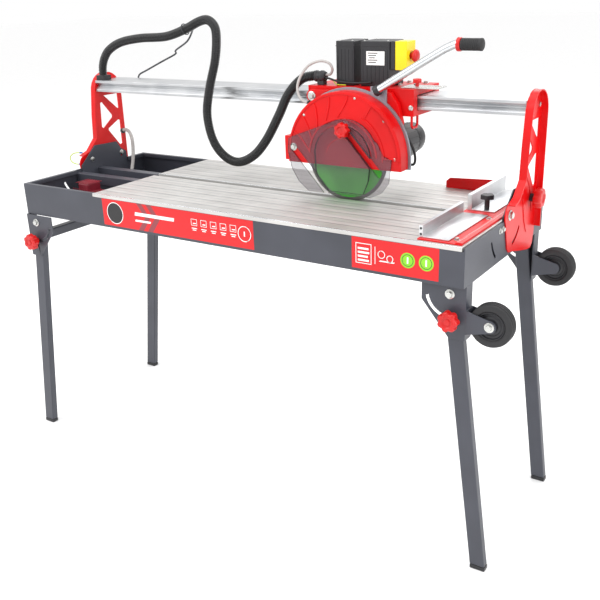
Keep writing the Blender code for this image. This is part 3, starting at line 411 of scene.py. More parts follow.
def hex_bolt(shape, head, start, direction, washer=True, spin=0.0):
    """A washer, a chamfered hexagon head and its stud's end; head is the width across corners."""
    radius = head / 2
    lift = 0.0
    if washer:
        lift = radius * 0.22
        lathe(shape,
              [(0, 0), (radius * 1.45, 0), (radius * 1.45, lift * 0.8), (radius * 1.38, lift), (0, lift)],
              start, direction, 28)
    direction = Vector(direction).normalized()
    place_at = Vector(start) + direction * lift
    drum(shape, radius, radius * 0.62, place_at, direction, 6, spin=spin)
    lathe(shape, [(0, 0), (radius * 0.86, 0), (radius * 0.80, radius * 0.12), (0, radius * 0.14)],
          place_at + direction * radius * 0.62, direction, 24)
    return shape


def pan_screw(shape, head, start, direction, spin=0.3):
    """A domed screw head with a cross recess."""
    radius = head / 2
    lathe(shape, [(0, 0), (radius, 0), (radius * 0.97, radius * 0.22), (radius * 0.72, radius * 0.5),
                  (radius * 0.3, radius * 0.6), (radius * 0.26, radius * 0.42), (0, radius * 0.40)], start,
          direction,
          20, spin)
    return shape


def lobes(shape, radius, height, start, direction, count, share=0.14, hub=0.45, recess=0.0, steps=84):
    """A hand knob: a lobed rim with a rounded crown and a dished middle."""
    levels = [(0.93, 0), (1.0, 0.08), (1.0, 0.72), (0.96, 0.90), (0.86, 1.0)]
    rings = []
    for reach, lift in levels:
        ring = []
        for i in range(steps):
            turn = TAU * i / steps
            wave = 1 - share * (0.5 - 0.5 * math.cos(count * turn)) ** 1.6
            ring.append(shape.verts.new((radius * reach * wave * math.cos(turn),
                                         radius * reach * wave * math.sin(turn), height * lift)))
        rings.append(ring)
    for reach, lift in ((hub + 0.12, 1.0), (hub, 0.97 - recess), (hub * 0.55, 0.95 - recess)):
        rings.append([shape.verts.new((radius * reach * math.cos(TAU * i / steps),
                                       radius * reach * math.sin(TAU * i / steps), height * lift))
                      for i in range(steps)])
    for lower, upper in zip(rings, rings[1:]):
        for i in range(steps):
            shape.faces.new((lower[i], lower[(i + 1) % steps], upper[(i + 1) % steps], upper[i]))
    shape.faces.new(list(reversed(rings[0])))
    shape.faces.new(rings[-1])
    bmesh.ops.transform(shape, matrix=facing(direction, start), verts=[v for ring in rings for v in ring])
    return shape


def smooth_path(points, spacing):
    """Points an even distance apart on a smooth line through the given points."""
    points = [Vector(p) for p in points]
    ends = [points[0] * 2 - points[1]] + points + [points[-1] * 2 - points[-2]]
    dense = []
    for a, b, c, d in zip(ends, ends[1:], ends[2:], ends[3:]):
        for i in range(12):
            t = i / 12
            dense.append(0.5 * ((2 * b) + (c - a) * t + (2 * a - 5 * b + 4 * c - d) * t * t
                                + (3 * b - a - 3 * c + d) * t * t * t))
    dense.append(points[-1])
    total = sum((q - p).length for p, q in zip(dense, dense[1:]))
    count = max(2, round(total / spacing))
    step = total / count
    path = [dense[0]]
    left = step
    for p, q in zip(dense, dense[1:]):
        span = (q - p).length
        run = left
        while run <= span + 1e-9 and len(path) < count:
            path.append(p.lerp(q, run / span))
            run += step
        left = run - span
    path.append(dense[-1])
    return path


def pipe(shape, path, radii, sides=14):
    """A round tube along a path; radii is one radius or one for each point."""
    path = [Vector(p) for p in path]
    if not isinstance(radii, (list, tuple)):
        radii = [radii] * len(path)
    ahead = (path[1] - path[0]).normalized()
    across = ahead.orthogonal().normalized()
    rings = []
    for i, point in enumerate(path):
        ahead = (path[min(i + 1, len(path) - 1)] - path[max(i - 1, 0)]).normalized()
        across = (across - ahead * across.dot(ahead)).normalized()
        up = ahead.cross(across)
        turns = [TAU * j / sides for j in range(sides)]
        rings.append([shape.verts.new(point + (across * math.cos(turn) + up * math.sin(turn)) * radii[i])
                      for turn in turns])
    for lower, upper in zip(rings, rings[1:]):
        for j in range(sides):
            shape.faces.new((lower[j], lower[(j + 1) % sides], upper[(j + 1) % sides], upper[j]))
    shape.faces.new(list(reversed(rings[0])))
    shape.faces.new(rings[-1])
    return shape


def pan_parts():
    """The tray, its rolled rim, the beams under the tables and the brackets that carry the bridge."""
    softened("tray", grey_powder_coat(), looks().pan_edge, 3)
    for name in ("beam_front", "beam_rear"):
        softened(name, grey_powder_coat(), 0.0016, 3)
    for name in ("tilt_bracket_left", "tilt_bracket_right"):
        softened(name, grey_powder_coat(), 0.0008)
    softened("pump", pump_plastic(), 0.006, 4)
    low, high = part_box("pump")
    detail = bmesh.new()
    for i in range(7):
        x = low.x + 0.009 + 0.010 * i
        box(detail, (x - 0.0014, low.y - 0.0012, low.z + 0.010), (x + 0.0014, low.y + 0.001, high.z - 0.014))
        box(detail, (x - 0.0014, low.y + 0.012, high.z - 0.001),
            (x + 0.0014, high.y - 0.012, high.z + 0.0012))
    lathe(detail, [(0, 0), (0.012, 0), (0.012, 0.003), (0.008, 0.005), (0, 0.005)],
          ((low.x + high.x) / 2, high.y - 0.001, low.z + 0.017), (0, 1, 0), 24)
    keep(detail, "pump.ribs", pump_plastic(), "saw_frame", bevel=0.0005)


def fasteners(name, heads, material, body):
    """One piece of many fixings: each is (kind, width, start, direction)."""
    shape = bmesh.new()
    for kind, width, start, direction in heads:
        if kind == "bolt":
            hex_bolt(shape, width, start, direction)
        elif kind == "screw":
            pan_screw(shape, width, start, direction)
        else:
            lathe(shape, [(0, 0), (width / 2, 0), (width / 2, 0.001), (width * 0.46, 0.0016), (0, 0.0016)],
                  start,
                  direction, 28)
    return keep(shape, name, material, body, bevel=0.0003, segments=1)


def studio():
    """The pale floor, the soft lights and the camera."""
    floor = bpy.data.meshes.new("studio_floor")
    shape = bmesh.new()
    edge = 30.0
    flat = [shape.verts.new(p) for p in ((-edge, -edge, 0), (edge, -edge, 0), (edge, edge, 0),
                                         (-edge, edge, 0))]
    shape.faces.new(flat)
    shape.to_mesh(floor)
    shape.free()
    ground = bpy.data.objects.new("studio_floor", floor)
    bpy.context.scene.collection.objects.link(ground)
    floor.materials.append(finish("pale_floor", "#FFFFFF", "#FCFCFC", 0.75, 0.01))
    lamps = (("window_light", (-2.6, -3.2, 4.2), (3.6, 3.6), 150),
             ("side_light", (4.2, -1.2, 2.6), (2.4, 3.0), 80),
             ("back_light", (0.6, 3.8, 3.6), (4.0, 2.2), 90), ("top_light", (0.2, -0.2, 4.6), (3.0, 3.0), 60))
    for name, spot, size, power in lamps:
        lamp = bpy.data.lights.new(name, "AREA")
        lamp.shape = "RECTANGLE"
        lamp.size, lamp.size_y = size
        lamp.energy = power * looks().lamp_share
        holder = bpy.data.objects.new(name, lamp)
        bpy.context.scene.collection.objects.link(holder)
        holder.matrix_world = (Matrix.Translation(spot)
                               @ (Vector((0, 0, 0.9)) - Vector(spot)).to_track_quat("-Z",
                                                                                    "Y").to_matrix().to_4x4())
    world = bpy.data.worlds.new("studio_air")
    world.use_nodes = True
    world.node_tree.nodes["Background"].inputs["Color"].default_value = (1.0, 1.0, 1.0, 1.0)
    world.node_tree.nodes["Background"].inputs["Strength"].default_value = looks().air_strength
    bpy.context.scene.world = world
    bpy.context.scene.view_settings.view_transform = "Standard"
    lens = bpy.data.cameras.new("front_right_view")
    lens.lens = 49.91
    lens.sensor_width = 36.0
    camera = bpy.data.objects.new("front_right_view", lens)
    bpy.context.scene.collection.objects.link(camera)
    turn = (Matrix.Rotation(math.radians(33.9581), 4, "Z") @ Matrix.Rotation(math.radians(90 - 21.09), 4, "X")
            @ Matrix.Rotation(math.radians(-2.0587), 4, "Z"))
    camera.matrix_world = Matrix.Translation(at(1.4343, -1.9643, 1.4561)) @ turn
    bpy.context.scene.camera = camera


def tyre_rubber():
    """Hard black tyre rubber: matt, scuffed grey where it rolls."""
    return finish("tyre_rubber", "#29292B", "#1C1C1E", 0.66, 0.0014, bump=0.00010,
                  spots=("#444447", 0.006, 0.05))


def blue_crimp():
    """Blue nylon sleeve of a crimped terminal."""
    return finish("blue_crimp", "#2467C4", "#1B55A8", 0.35, 0.0020)


FRONT_PLANE = Matrix(((1, 0, 0, 0), (0, 0, -1, 0), (0, 1, 0, 0), (0, 0, 0, 1)))


def printed(name, material, shapes, layer):
    """Thin printed shapes on the pan's front: each is an outline of (x, z) from the pan's middle."""
    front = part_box("tray")[0].y
    shape = bmesh.new()
    for outline in shapes:
        prism(shape, [(x + CENTRE_X, z) for x, z in outline], 0.00008,
              Matrix.Translation((0, front - 0.0001 * layer, 0)) @ FRONT_PLANE)
    return keep(shape, name, material, "saw_frame")


def bar(x, z, width, height, lean=0.0):
    """The outline of a bar, leaning by a shift of its top."""
    return [(x, z), (x + width, z), (x + width + lean, z + height), (x + lean, z + height)]


def disc(x, z, radius, count=28):
    """The outline of a disc."""
    return [(x + radius * math.cos(TAU * i / count),
             z + radius * math.sin(TAU * i / count)) for i in range(count)]


def frame_of(x, z, width, height, line):
    """Four bars that outline a rectangle."""
    return [bar(x, z, width, line), bar(x, z + height - line, width, line),
            bar(x, z + line, line, height - 2 * line),
            bar(x + width - line, z + line, line, height - 2 * line)]


def ring_of(x, z, radius, line, count=28):
    """A ring as short bars round a circle."""
    pieces = []
    for i in range(count):
        a, b = TAU * i / count, TAU * (i + 1) / count
        inner = radius - line
        pieces.append([(x + inner * math.cos(a), z + inner * math.sin(a)),
                       (x + radius * math.cos(a), z + radius * math.sin(a)),
                       (x + radius * math.cos(b), z + radius * math.sin(b)),
                       (x + inner * math.cos(b), z + inner * math.sin(b))])
    return pieces


def decal_parts():
    """Two printed panels on the pan's front, with plain shapes where a maker prints a name and signs."""
    low, high = 0.7875, 0.8675
    middle = (low + high) / 2
    printed("front_panel_left", decal_red(), [bar(-0.402, low, 0.558, high - low)], 1)
    shades = [[(x, low), (x + 0.020, low), (x + 0.050, middle), (x + 0.020, high), (x, high),
               (x + 0.030, middle)]
              for x in (-0.262, -0.226)]
    printed("front_panel_shades", decal_grey(), shades, 2)
    badge = -0.352
    printed("front_badge", decal_black(), [disc(badge, middle, 0.0330)], 2)
    printed("front_badge_ring", decal_white(), ring_of(badge, middle, 0.0330, 0.0022), 3)
    marks = [bar(-0.272, middle + 0.003, 0.150, 0.010, 0.002),
             bar(-0.272, middle - 0.015, 0.060, 0.006, 0.002)]
    for i in range(5):
        left = -0.058 + 0.034 * i
        marks += frame_of(left, middle + 0.001, 0.021, 0.019, 0.0013)
        marks.append(bar(left + 0.005, middle + 0.006, 0.011, 0.003, 0.003))
        marks.append(bar(left + 0.001, middle - 0.008, 0.019, 0.0025))
        marks.append(bar(left + 0.004, middle - 0.013, 0.013, 0.0025))
    marks += ring_of(0.126, middle, 0.022, 0.0022)
    marks.append(bar(0.124, middle - 0.007, 0.004, 0.014))
    printed("front_panel_marks", decal_white(), marks, 3)
    printed("front_panel_right", decal_red(), [bar(0.455, low, 0.232, high - low)], 1)
    signs = frame_of(0.466, low + 0.014, 0.044, 0.052, 0.0018)
    signs += [bar(0.472, low + z, w, 0.005) for z,
              w in ((0.050, 0.030), (0.040, 0.032), (0.030, 0.028), (0.020, 0.031))]
    signs += [bar(0.519, low + 0.018, 0.0016, 0.044)]
    signs += ring_of(0.537, middle + 0.004, 0.010, 0.0018) + ring_of(0.560, middle - 0.004, 0.009, 0.0018)
    signs += [bar(0.530, middle - 0.014, 0.040, 0.0030, 0.004)]
    printed("front_panel_signs", decal_white(), signs, 2)
    for number, left in enumerate((0.607, 0.655)):
        printed(f"green_disc_{number}", decal_green(), [disc(left, middle, 0.0190)], 2)
        printed(f"green_disc_ring_{number}", decal_black(), ring_of(left, middle, 0.0150, 0.0014), 3)
        printed(f"green_disc_mark_{number}", decal_white(), [bar(left - 0.002, middle - 0.008, 0.004, 0.016)],
                3)


def table_parts():
    """The two grooved tables: extruded boards with fine flutes in pairs and a bright machined front edge."""
    for name in ("table_front", "table_rear"):
        low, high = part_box(name)
        softened(name, table_aluminium(), 0.0004, 1)
        shape = bmesh.new()
        for share in (0.06, 0.115, 0.125, 0.21, 0.295, 0.305, 0.39, 0.475, 0.485, 0.57, 0.655, 0.665, 0.75,
                      0.835,
                      0.845, 0.93):
            y = high[1] - (high[1] - low[1]) * share
            box(shape, (low[0] + 0.002, y - 0.0006, high[2] + 0.00002),
                (high[0] - 0.002, y + 0.0006, high[2] + 0.00022))
        keep(shape, name + ".ribs", extruded_aluminium(), BODY_OF[name], bevel=0.0003, segments=1)
        trim = bmesh.new()
        box(trim, (low[0] + 0.0005, low[1] + 0.0004, high[2] + 0.00005),
            (high[0] - 0.0005, low[1] + 0.0045, high[2] + 0.0011))
        keep(trim, name + ".edge", polished_tube(), BODY_OF[name], bevel=0.0004, segments=2)


def leg_parts():
    """The four folding legs, their caps and cross tube, the brackets and the knobs that lock them."""
    for name in ("leg_left_near", "leg_left_far", "leg_right_near", "leg_right_far", "leg_crossbar"):
        softened(name, grey_powder_coat(), 0.0035, 4)
    for name in ("foot_left_near", "foot_left_far", "foot_right_near", "foot_right_far"):
        softened(name, black_moulding(), 0.0020, 3)
    for side in ("left", "right"):
        for row in ("near", "far"):
            softened(f"leg_bracket_{side}_{row}", grey_powder_coat(), 0.0008)
            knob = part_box(f"leg_knob_{side}_{row}")
            middle = (knob[0] + knob[1]) / 2
            out = -1 if row == "near" else 1
            start = Vector((middle.x, knob[0].y if row == "near" else knob[1].y, middle.z))
            height = looks().knob_depth
            shape = bmesh.new()
            lobes(shape, 0.0262, height, start - Vector((0, out * height, 0)), (0, out, 0), 7, 0.16, 0.42,
                  0.10)
            keep(shape, f"leg_knob_{side}_{row}.finished", red_moulding(), f"leg_knob_{side}_{row}",
                 f"leg_knob_{side}_{row}")
            stem = bmesh.new()
            inner = knob[1].y if row == "near" else knob[0].y
            deep = abs(inner - start.y) - height
            drum(stem, 0.0105, deep, Vector((middle.x, inner, middle.z)), (0, out, 0), 28)
            lathe(stem, [(0, 0), (0.0078, 0), (0.0078, 0.0012), (0.0052, 0.0016), (0, 0.0016)],
                  start - Vector((0, out * 0.0030, 0)), (0, out, 0), 24)
            keep(stem, f"leg_knob_{side}_{row}.stem", red_moulding(), f"leg_knob_{side}_{row}", bevel=0.0004)


def wheel_parts():
    """Two transport wheels: grooved tyre, stepped dish of a hub, and a zinc axle bolt through the fork."""
    for row in ("near", "far"):
        name = f"wheel_{row}"
        low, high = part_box(name)
        middle = (low + high) / 2
        radius = (high.z - low.z) / 2
        half = 0.017
        centre = Vector((middle.x, middle.y, middle.z))
        ridge = [(0.62 * radius, -0.66 * half)]
        ridge += [(0.72 * radius, -0.98 * half), (0.90 * radius, -1.0 * half), (0.975 * radius, -0.86 * half)]
        for mark in (-0.5, 0.0, 0.5):
            ridge += [(0.999 * radius, (mark - 0.13) * half), (0.960 * radius, (mark - 0.07) * half),
                      (0.960 * radius, (mark + 0.07) * half), (0.999 * radius, (mark + 0.13) * half)]
        ridge += [(0.975 * radius, 0.86 * half), (0.90 * radius, 1.0 * half), (0.72 * radius, 0.98 * half),
                  (0.62 * radius, 0.66 * half)]
        shape = bmesh.new()
        lathe(shape, ridge + [ridge[0]], centre, (0, 1, 0), 96)
        keep(shape, f"{name}.tyre", tyre_rubber(), name, name, bevel=0.0005)
        hub = bmesh.new()
        side = [(0.010, -1.05), (0.016, -1.05), (0.0175, -0.62), (0.0240, -0.50), (0.0250, -0.58),
                (0.0300, -0.62),
                (0.0325, -0.84), (0.0345, -0.86), (0.0350, -0.70)]
        profile = [(r, h * half) for r, h in side] + [(r, -h * half) for r, h in reversed(side)]
        lathe(hub, profile + [profile[0]], centre, (0, 1, 0), 64)
        keep(hub, f"{name}.hub", black_moulding(), name, bevel=0.0005)
    for row, out in (("near", -1), ("far", 1)):
        low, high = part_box(f"wheel_{row}")
        middle = (low + high) / 2
        fasteners(f"axle_bolt_{row}",
                  [("bolt", 0.017, (middle.x, low.y - 0.0040 if out < 0 else high.y + 0.0040,
                                                         middle.z), (0, out, 0))], bright_zinc(), "saw_frame")


def bridge_parts():
    """The columns, the rail that the carriage runs on, and the fittings that hold the hose."""
    for name in ("column_left", "column_right"):
        softened(name, red_powder_coat(), 0.0008)
    softened("rail", extruded_aluminium(), 0.0012, 3)
    softened("hose_clamp", black_moulding(), 0.0010)
    for side in ("left", "right"):
        low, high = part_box(f"tilt_knob_{side}")
        out = -1 if side == "left" else 1
        middle = (low + high) / 2
        tip = Vector((low.x if side == "left" else high.x, middle.y, middle.z))
        shape = bmesh.new()
        lobes(shape, 0.027, 0.020, tip - Vector((out * 0.020, 0, 0)), (out, 0, 0), 6, 0.15, 0.42, 0.10)
        keep(shape, f"tilt_knob_{side}.finished", red_moulding(), f"tilt_knob_{side}", f"tilt_knob_{side}")
        stem = bmesh.new()
        inner = high.x if side == "left" else low.x
        drum(stem, 0.0105, abs(inner - tip.x) - 0.020, Vector((inner, middle.y, middle.z)), (out, 0, 0), 28)
        keep(stem, f"tilt_knob_{side}.stem", black_moulding(), f"tilt_knob_{side}", bevel=0.0004)


def carriage_parts():
    """The casting that runs on the rail, its stop plate, gland, boxes and the fixings on it."""
    softened("carriage", red_powder_coat(), 0.0022, 4)
    softened("stop_plate", bright_zinc(), 0.0006)
    low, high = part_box("cable_gland")
    mouth = Vector((low.x, *at(*HOSE_ROUTE[-1])[1:]))
    gland = bmesh.new()
    lathe(gland, [(0, 0), (0.0145, 0), (0.0158, 0.002), (0.0158, 0.007), (0.0140, 0.009), (0.0140, 0.016),
                  (0.0158, 0.018), (0.0158, 0.026), (0.0120, 0.0335), (0, 0.0335)], mouth, (1, 0, 0), 28)
    for i in range(10):
        flat = box(gland, (0.0140, -0.0016, 0.019), (0.0160, 0.0016, 0.0255))
        bmesh.ops.transform(gland, matrix=facing((1, 0, 0), mouth, TAU * i / 10), verts=flat)
    box(gland, (low.x + 0.010, mouth.y - 0.010, low.z), (low.x + 0.030, mouth.y + 0.010, mouth.z - 0.010))
    keep(gland, "cable_gland.finished", black_moulding(), "carriage", "cable_gland", bevel=0.0006)
    for name in ("control_box_left", "control_box_right"):
        softened(name, black_moulding(), 0.0022, 3)
        low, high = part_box(name)
        ribs = bmesh.new()
        count = 5 if name.endswith("left") else 7
        for i in range(count):
            x = low.x + (high.x - low.x) * (i + 0.5) / count
            box(ribs, (x - 0.0012, low.y - 0.0009, low.z + 0.010),
                (x + 0.0012, low.y + 0.0004, high.z - 0.022))
        box(ribs, (low.x - 0.0006, low.y - 0.0008, high.z - 0.0140),
            (high.x + 0.0006, high.y + 0.0006, high.z - 0.0120))
        keep(ribs, f"{name}.ribs", black_moulding(), "carriage", bevel=0.0004, segments=1)
        screws = [("screw", 0.006, (x, y, high.z), (0, 0, 1)) for x in (low.x + 0.008, high.x - 0.008)
                  for y in (low.y + 0.008, high.y - 0.008)]
        fasteners(f"{name}.screws", screws, bright_zinc(), "carriage")
    low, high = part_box("control_box_right")
    label = bmesh.new()
    box(label, (low.x + 0.018, low.y - 0.0014, high.z - 0.062),
        (high.x - 0.014, low.y - 0.0010, high.z - 0.026))
    keep(label, "box_label", decal_white(), "carriage")
    print_marks("box_label_marks", decal_black(), "carriage", low.y - 0.0016,
                [(low.x + 0.022 + 0.002 * (i % 3), high.z - 0.032 - 0.006 * i, 0.030 - 0.006 * (i % 3),
                  0.0022)
                 for i in range(5)])
    low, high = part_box("carriage")
    bolts = [("bolt", 0.010, (high.x - 0.0085, low.y, 1.128), (0, -1, 0))]
    bolts += [("bolt", 0.012, (x, y, high.z), (0, 0, 1)) for x in (high.x - 0.080, high.x - 0.030)
              for y in (low.y + 0.075, high.y - 0.020)]
    bolts += [("bolt", 0.012, (low.x + 0.028, high.y - 0.020, high.z), (0, 0, 1)),
              ("bolt", 0.013, (high.x - 0.030, high.y, 1.130), (0, 1, 0)),
              ("bolt", 0.013, (high.x - 0.070, high.y, 1.130), (0, 1, 0))]
    fasteners("carriage_bolts", bolts, bright_zinc(), "carriage")
    low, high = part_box("lock_knob")
    middle = (low + high) / 2
    knob = bmesh.new()
    drum(knob, 0.0050, high.z - low.z - 0.010, (middle.x, middle.y, low.z), (0, 0, 1), 20)
    lobes(knob, 0.0120, 0.010, (middle.x, middle.y, high.z - 0.010), (0, 0, 1), 6, 0.14, 0.45, 0.08, 48)
    keep(knob, "lock_knob.finished", red_moulding(), "lock_knob", "lock_knob")


def print_marks(name, material, body, y, marks):
    """Plain bars for a label's print: each is (x, z, width, height) on a plane facing the user."""
    shape = bmesh.new()
    for x, z, width, height in marks:
        box(shape, (x, y, z), (x + width, y + 0.0003, z + height))
    return keep(shape, name, material, body)


def switch_parts():
    """The safety switch: base, hinged yellow lid, mushroom stop button, and the start button under it."""
    softened("switch_base", black_moulding(), 0.0020, 3)
    softened("switch_lid", yellow_moulding(), 0.0045, 4)
    low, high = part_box("switch_lid")
    trim = bmesh.new()
    box(trim, (high.x - 0.0002, low.y + 0.006, low.z + 0.004),
        (high.x + 0.0010, high.y - 0.006, low.z + 0.010))
    drum(trim, 0.0035, high.y - low.y - 0.004, (low.x + 0.004, low.y + 0.002, high.z - 0.0036), (0, 1, 0), 20)
    collar = [(0.0125, 0), (0.0165, 0), (0.0162, 0.0010), (0.0150, 0.0014), (0.0125, 0.0014)]
    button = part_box("stop_button")
    middle = (button[0] + button[1]) / 2
    lathe(trim, collar + [collar[0]], (high.x, middle.y, middle.z), (1, 0, 0), 36)
    keep(trim, "switch_lid.trim", yellow_moulding(), "switch_lid", bevel=0.0005)
    stop = bmesh.new()
    back = button[1].x - 0.017
    lathe(stop,
          [(0, -0.012), (0.0072, -0.012), (0.0072, 0), (0.0105, 0.0002), (0.0158, 0.0052), (0.0167, 0.0074),
                 (0.0167, 0.0105), (0.0152, 0.0132), (0.0115, 0.0156), (0.0060, 0.0167), (0, 0.0170)],
          (back, middle.y, middle.z), (1, 0, 0), 48)
    keep(stop, "stop_button.finished", red_moulding(), "stop_button", "stop_button", angle=60)
    softened("start_button", green_button(), 0.0010, 3)


BLADE = at(0.277, 0, 0.995)


def blade_parts():
    """The diamond blade: lacquered core, sintered rim, clamping flanges, and the arbor with its hexagons."""
    low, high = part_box("blade")
    reach = (high.z - low.z) / 2
    middle = (low + high) / 2
    half = 0.0012
    core = bmesh.new()
    lathe(core, [(0.0115, -half * 0.8), (reach - 0.009, -half * 0.8), (reach - 0.009, half * 0.8),
                 (0.0115, half * 0.8), (0.0115, -half * 0.8)], middle, (0, 1, 0), 120)
    keep(core, "blade.core", blade_paint(), "blade", "blade")
    rim = bmesh.new()
    lathe(rim, [(reach - 0.010, -half), (reach - 0.0004, -half), (reach, -half * 0.7), (reach, half * 0.7),
                (reach - 0.0004, half), (reach - 0.010, half), (reach - 0.010, -half)], middle, (0, 1, 0),
          120)
    keep(rim, "blade.rim", diamond_rim(), "blade")
    flange = bmesh.new()
    for way in (-1, 1):
        lathe(flange,
              [(0.0115, 0), (0.0278, 0), (0.0278, 0.0020), (0.0220, 0.0034), (0.0115, 0.0034), (0.0115, 0)],
              middle + Vector((0, way * half, 0)), (0, way, 0), 48)
    keep(flange, "blade.flanges", bright_zinc(), "blade", bevel=0.0003)
    arbor = bmesh.new()
    drum(arbor, 0.0114, 0.016, middle - Vector((0, 0.008, 0)), (0, 1, 0), 32)
    for way in (-1, 1):
        drum(arbor, 0.0150, 0.0055, middle + Vector((0, way * (half + 0.0034), 0)), (0, way, 0), 6)
    keep(arbor, "blade.arbor", bright_zinc(), "blade", bevel=0.0005)


def bent_bar(shape, points, half_width, thick, front):
    """A flat strip standing proud of a plane that faces the user, along a line of (x, z) points."""
    count = len(points)
    sides = []
    for i, point in enumerate(points):
        before, after = points[max(i - 1, 0)], points[min(i + 1, count - 1)]
        run = Vector((after[0] - before[0], after[1] - before[1])).normalized()
        across = Vector((-run.y, run.x)) * half_width
        sides.append((Vector(point) + across, Vector(point) - across))
    rings = []
    for left, right in sides:
        rings.append([shape.verts.new((p.x, y, p.y)) for p, y in ((left, front), (right, front),
                                                                   (right, front - thick),
                                                                  (left, front - thick))])
    for one, two in zip(rings, rings[1:]):
        for i in range(4):
            shape.faces.new((one[i], one[(i + 1) % 4], two[(i + 1) % 4], two[i]))
    shape.faces.new(rings[0])
    shape.faces.new(list(reversed(rings[-1])))
    return shape


def around(centre, radius, start, end, steps=24):
    """Points of (x, z) on an arc in the plane of the blade, angles in degrees."""
    return [(centre.x + radius * math.cos(math.radians(start + (end - start) * i / steps)),
             centre.z + radius * math.sin(math.radians(start + (end - start) * i / steps)))
            for i in range(steps + 1)]


def cover_parts():
    """The blade cover with its ribs, raised band and domed middle, and the cast plate behind it."""
    softened("blade_cover", red_powder_coat(), 0.0030, 5)
    softened("back_plate", cast_aluminium(), 0.0016, 4)
    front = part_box("blade_cover")[0].y
    ribs = bmesh.new()
    reach = 0.178
    skin = front + 0.0006
    bent_bar(ribs, around(BLADE, reach - 0.0050, 1, 179, 72), 0.0030, 0.0030, skin)
    for start, end in ((3, 58), (-1, 62)):
        inset = 0.0 if start == 3 else 0.004
        bent_bar(ribs, around(BLADE, reach - 0.0105 + inset * 0.2, start, end, 28), 0.0016, 0.0032, skin)
        bent_bar(ribs, around(BLADE, reach - 0.0500 - inset, start, end, 28), 0.0020, 0.0032, skin)
    for angle in (3, 58):
        turn = math.radians(angle)
        ray = [(BLADE.x + r * math.cos(turn), BLADE.z + r * math.sin(turn)) for r in (reach - 0.050,
                                                                                      reach - 0.010)]
        bent_bar(ribs, ray, 0.0018, 0.0032, skin)
    for angle in (84, 104, 122, 140, 158):
        sweep = []
        for i in range(15):
            share = i / 14
            turn = math.radians(angle + 16 * share * share)
            radius = reach - 0.010 - 0.062 * share
            sweep.append((BLADE.x + radius * math.cos(turn), BLADE.z + radius * math.sin(turn)))
        bent_bar(ribs, sweep, 0.0024, 0.0030, skin)
    bent_bar(ribs, around(BLADE, 0.106, 4, 176, 60), 0.0026, 0.0034, skin)
    bent_bar(ribs, around(BLADE, 0.090, 6, 174, 56), 0.0016, 0.0024, skin)
    bent_bar(ribs, around(BLADE, 0.052, 12, 168, 40), 0.0016, 0.0018, skin)
    keep(ribs, "blade_cover.ribs", red_powder_coat(), "head", bevel=0.0010, segments=3)
    heads = [("screw", 0.008,
              (BLADE.x + r * math.cos(math.radians(a)), front, BLADE.z + r * math.sin(math.radians(a))),
              (0, -1, 0)) for r, a in ((0.167, 76), (0.160, 3), (0.164, 138), (0.166, 40))]
    heads.append(("bolt", 0.015, at(0.118, front - 0.0006, 1.014), (0, -1, 0)))
    fasteners("blade_cover.screws", heads, bright_zinc(), "head")
    bar = bmesh.new()
    box(bar, at(0.0835, -0.0060, 0.978), at(0.0880, 0.0210, 1.0400))
    keep(bar, "water_inlet_bar", bright_zinc(), "head", bevel=0.0016)


def arm_parts():
    """The arm that carries the motor, the hinge bolt, the motor with its fins and end cap."""
    softened("head_arm", red_powder_coat(), 0.0016, 3)
    low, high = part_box("motor")
    centre = at(0.372, 0, 1.020)
    start = low.y
    reach = 0.050
    length = high.y - low.y
    body = bmesh.new()
    profile = [(0, 0), (reach - 0.0010, 0), (reach, 0.0012), (reach, 0.018), (reach - 0.0030, 0.0195),
               (reach - 0.0030, 0.024), (reach, 0.0255), (reach, length * 0.62),
               (reach - 0.0014, length * 0.64),
               (reach - 0.0060, length * 0.655), (reach - 0.0060, length * 0.69),
               (reach * 0.90, length * 0.70),
               (reach * 0.86, length * 0.92), (reach * 0.78, length * 0.97), (reach * 0.60, length - 0.0002),
               (reach * 0.56, length - 0.0030), (0, length - 0.0030)]
    lathe(body, profile, (centre.x, start, centre.z), (0, 1, 0), 64)
    keep(body, "motor.finished", black_moulding(), "head", "motor", bevel=0.0005)
    fins = bmesh.new()
    for i in range(26):
        turn = TAU * i / 26
        fin = box(fins, (reach - 0.0065, -0.0011, length * 0.655), (reach - 0.0008, 0.0011, length * 0.695))
        bmesh.ops.transform(fins, matrix=facing((0, 1, 0), (centre.x, start, centre.z), turn), verts=fin)
    for i in range(20):
        turn = TAU * i / 20
        fin = box(fins, (reach - 0.0008, -0.0010, 0.030), (reach + 0.0002, 0.0010, length * 0.60))
        bmesh.ops.transform(fins, matrix=facing((0, 1, 0), (centre.x, start, centre.z), turn), verts=fin)
    keep(fins, "motor.fins", black_moulding(), "head", bevel=0.0003, segments=1)
    fixings = [("bolt", 0.018, at(0.150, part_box("head_arm")[0].y, 1.150), (0, -1, 0))]
    fixings += [("screw", 0.007,
                 at(0.372 + 0.040 * math.cos(a), high.y - 0.0040 - 0.006, 1.020 + 0.034 * math.sin(a)),
                 (0, 1, 0)) for a in (0.7, 2.4, 3.9, 5.4)]
    fasteners("arm_fixings", fixings, bright_zinc(), "head")


HANDLE_ROUTE = ((0.3600, 0.0190, 1.1710), (0.4615, 0.0190, 1.2295), (0.5480, 0.0190, 1.2780),
                (0.5675, 0.0190, 1.2875), (0.5850, 0.0190, 1.2945), (0.6000, 0.0190, 1.2945))


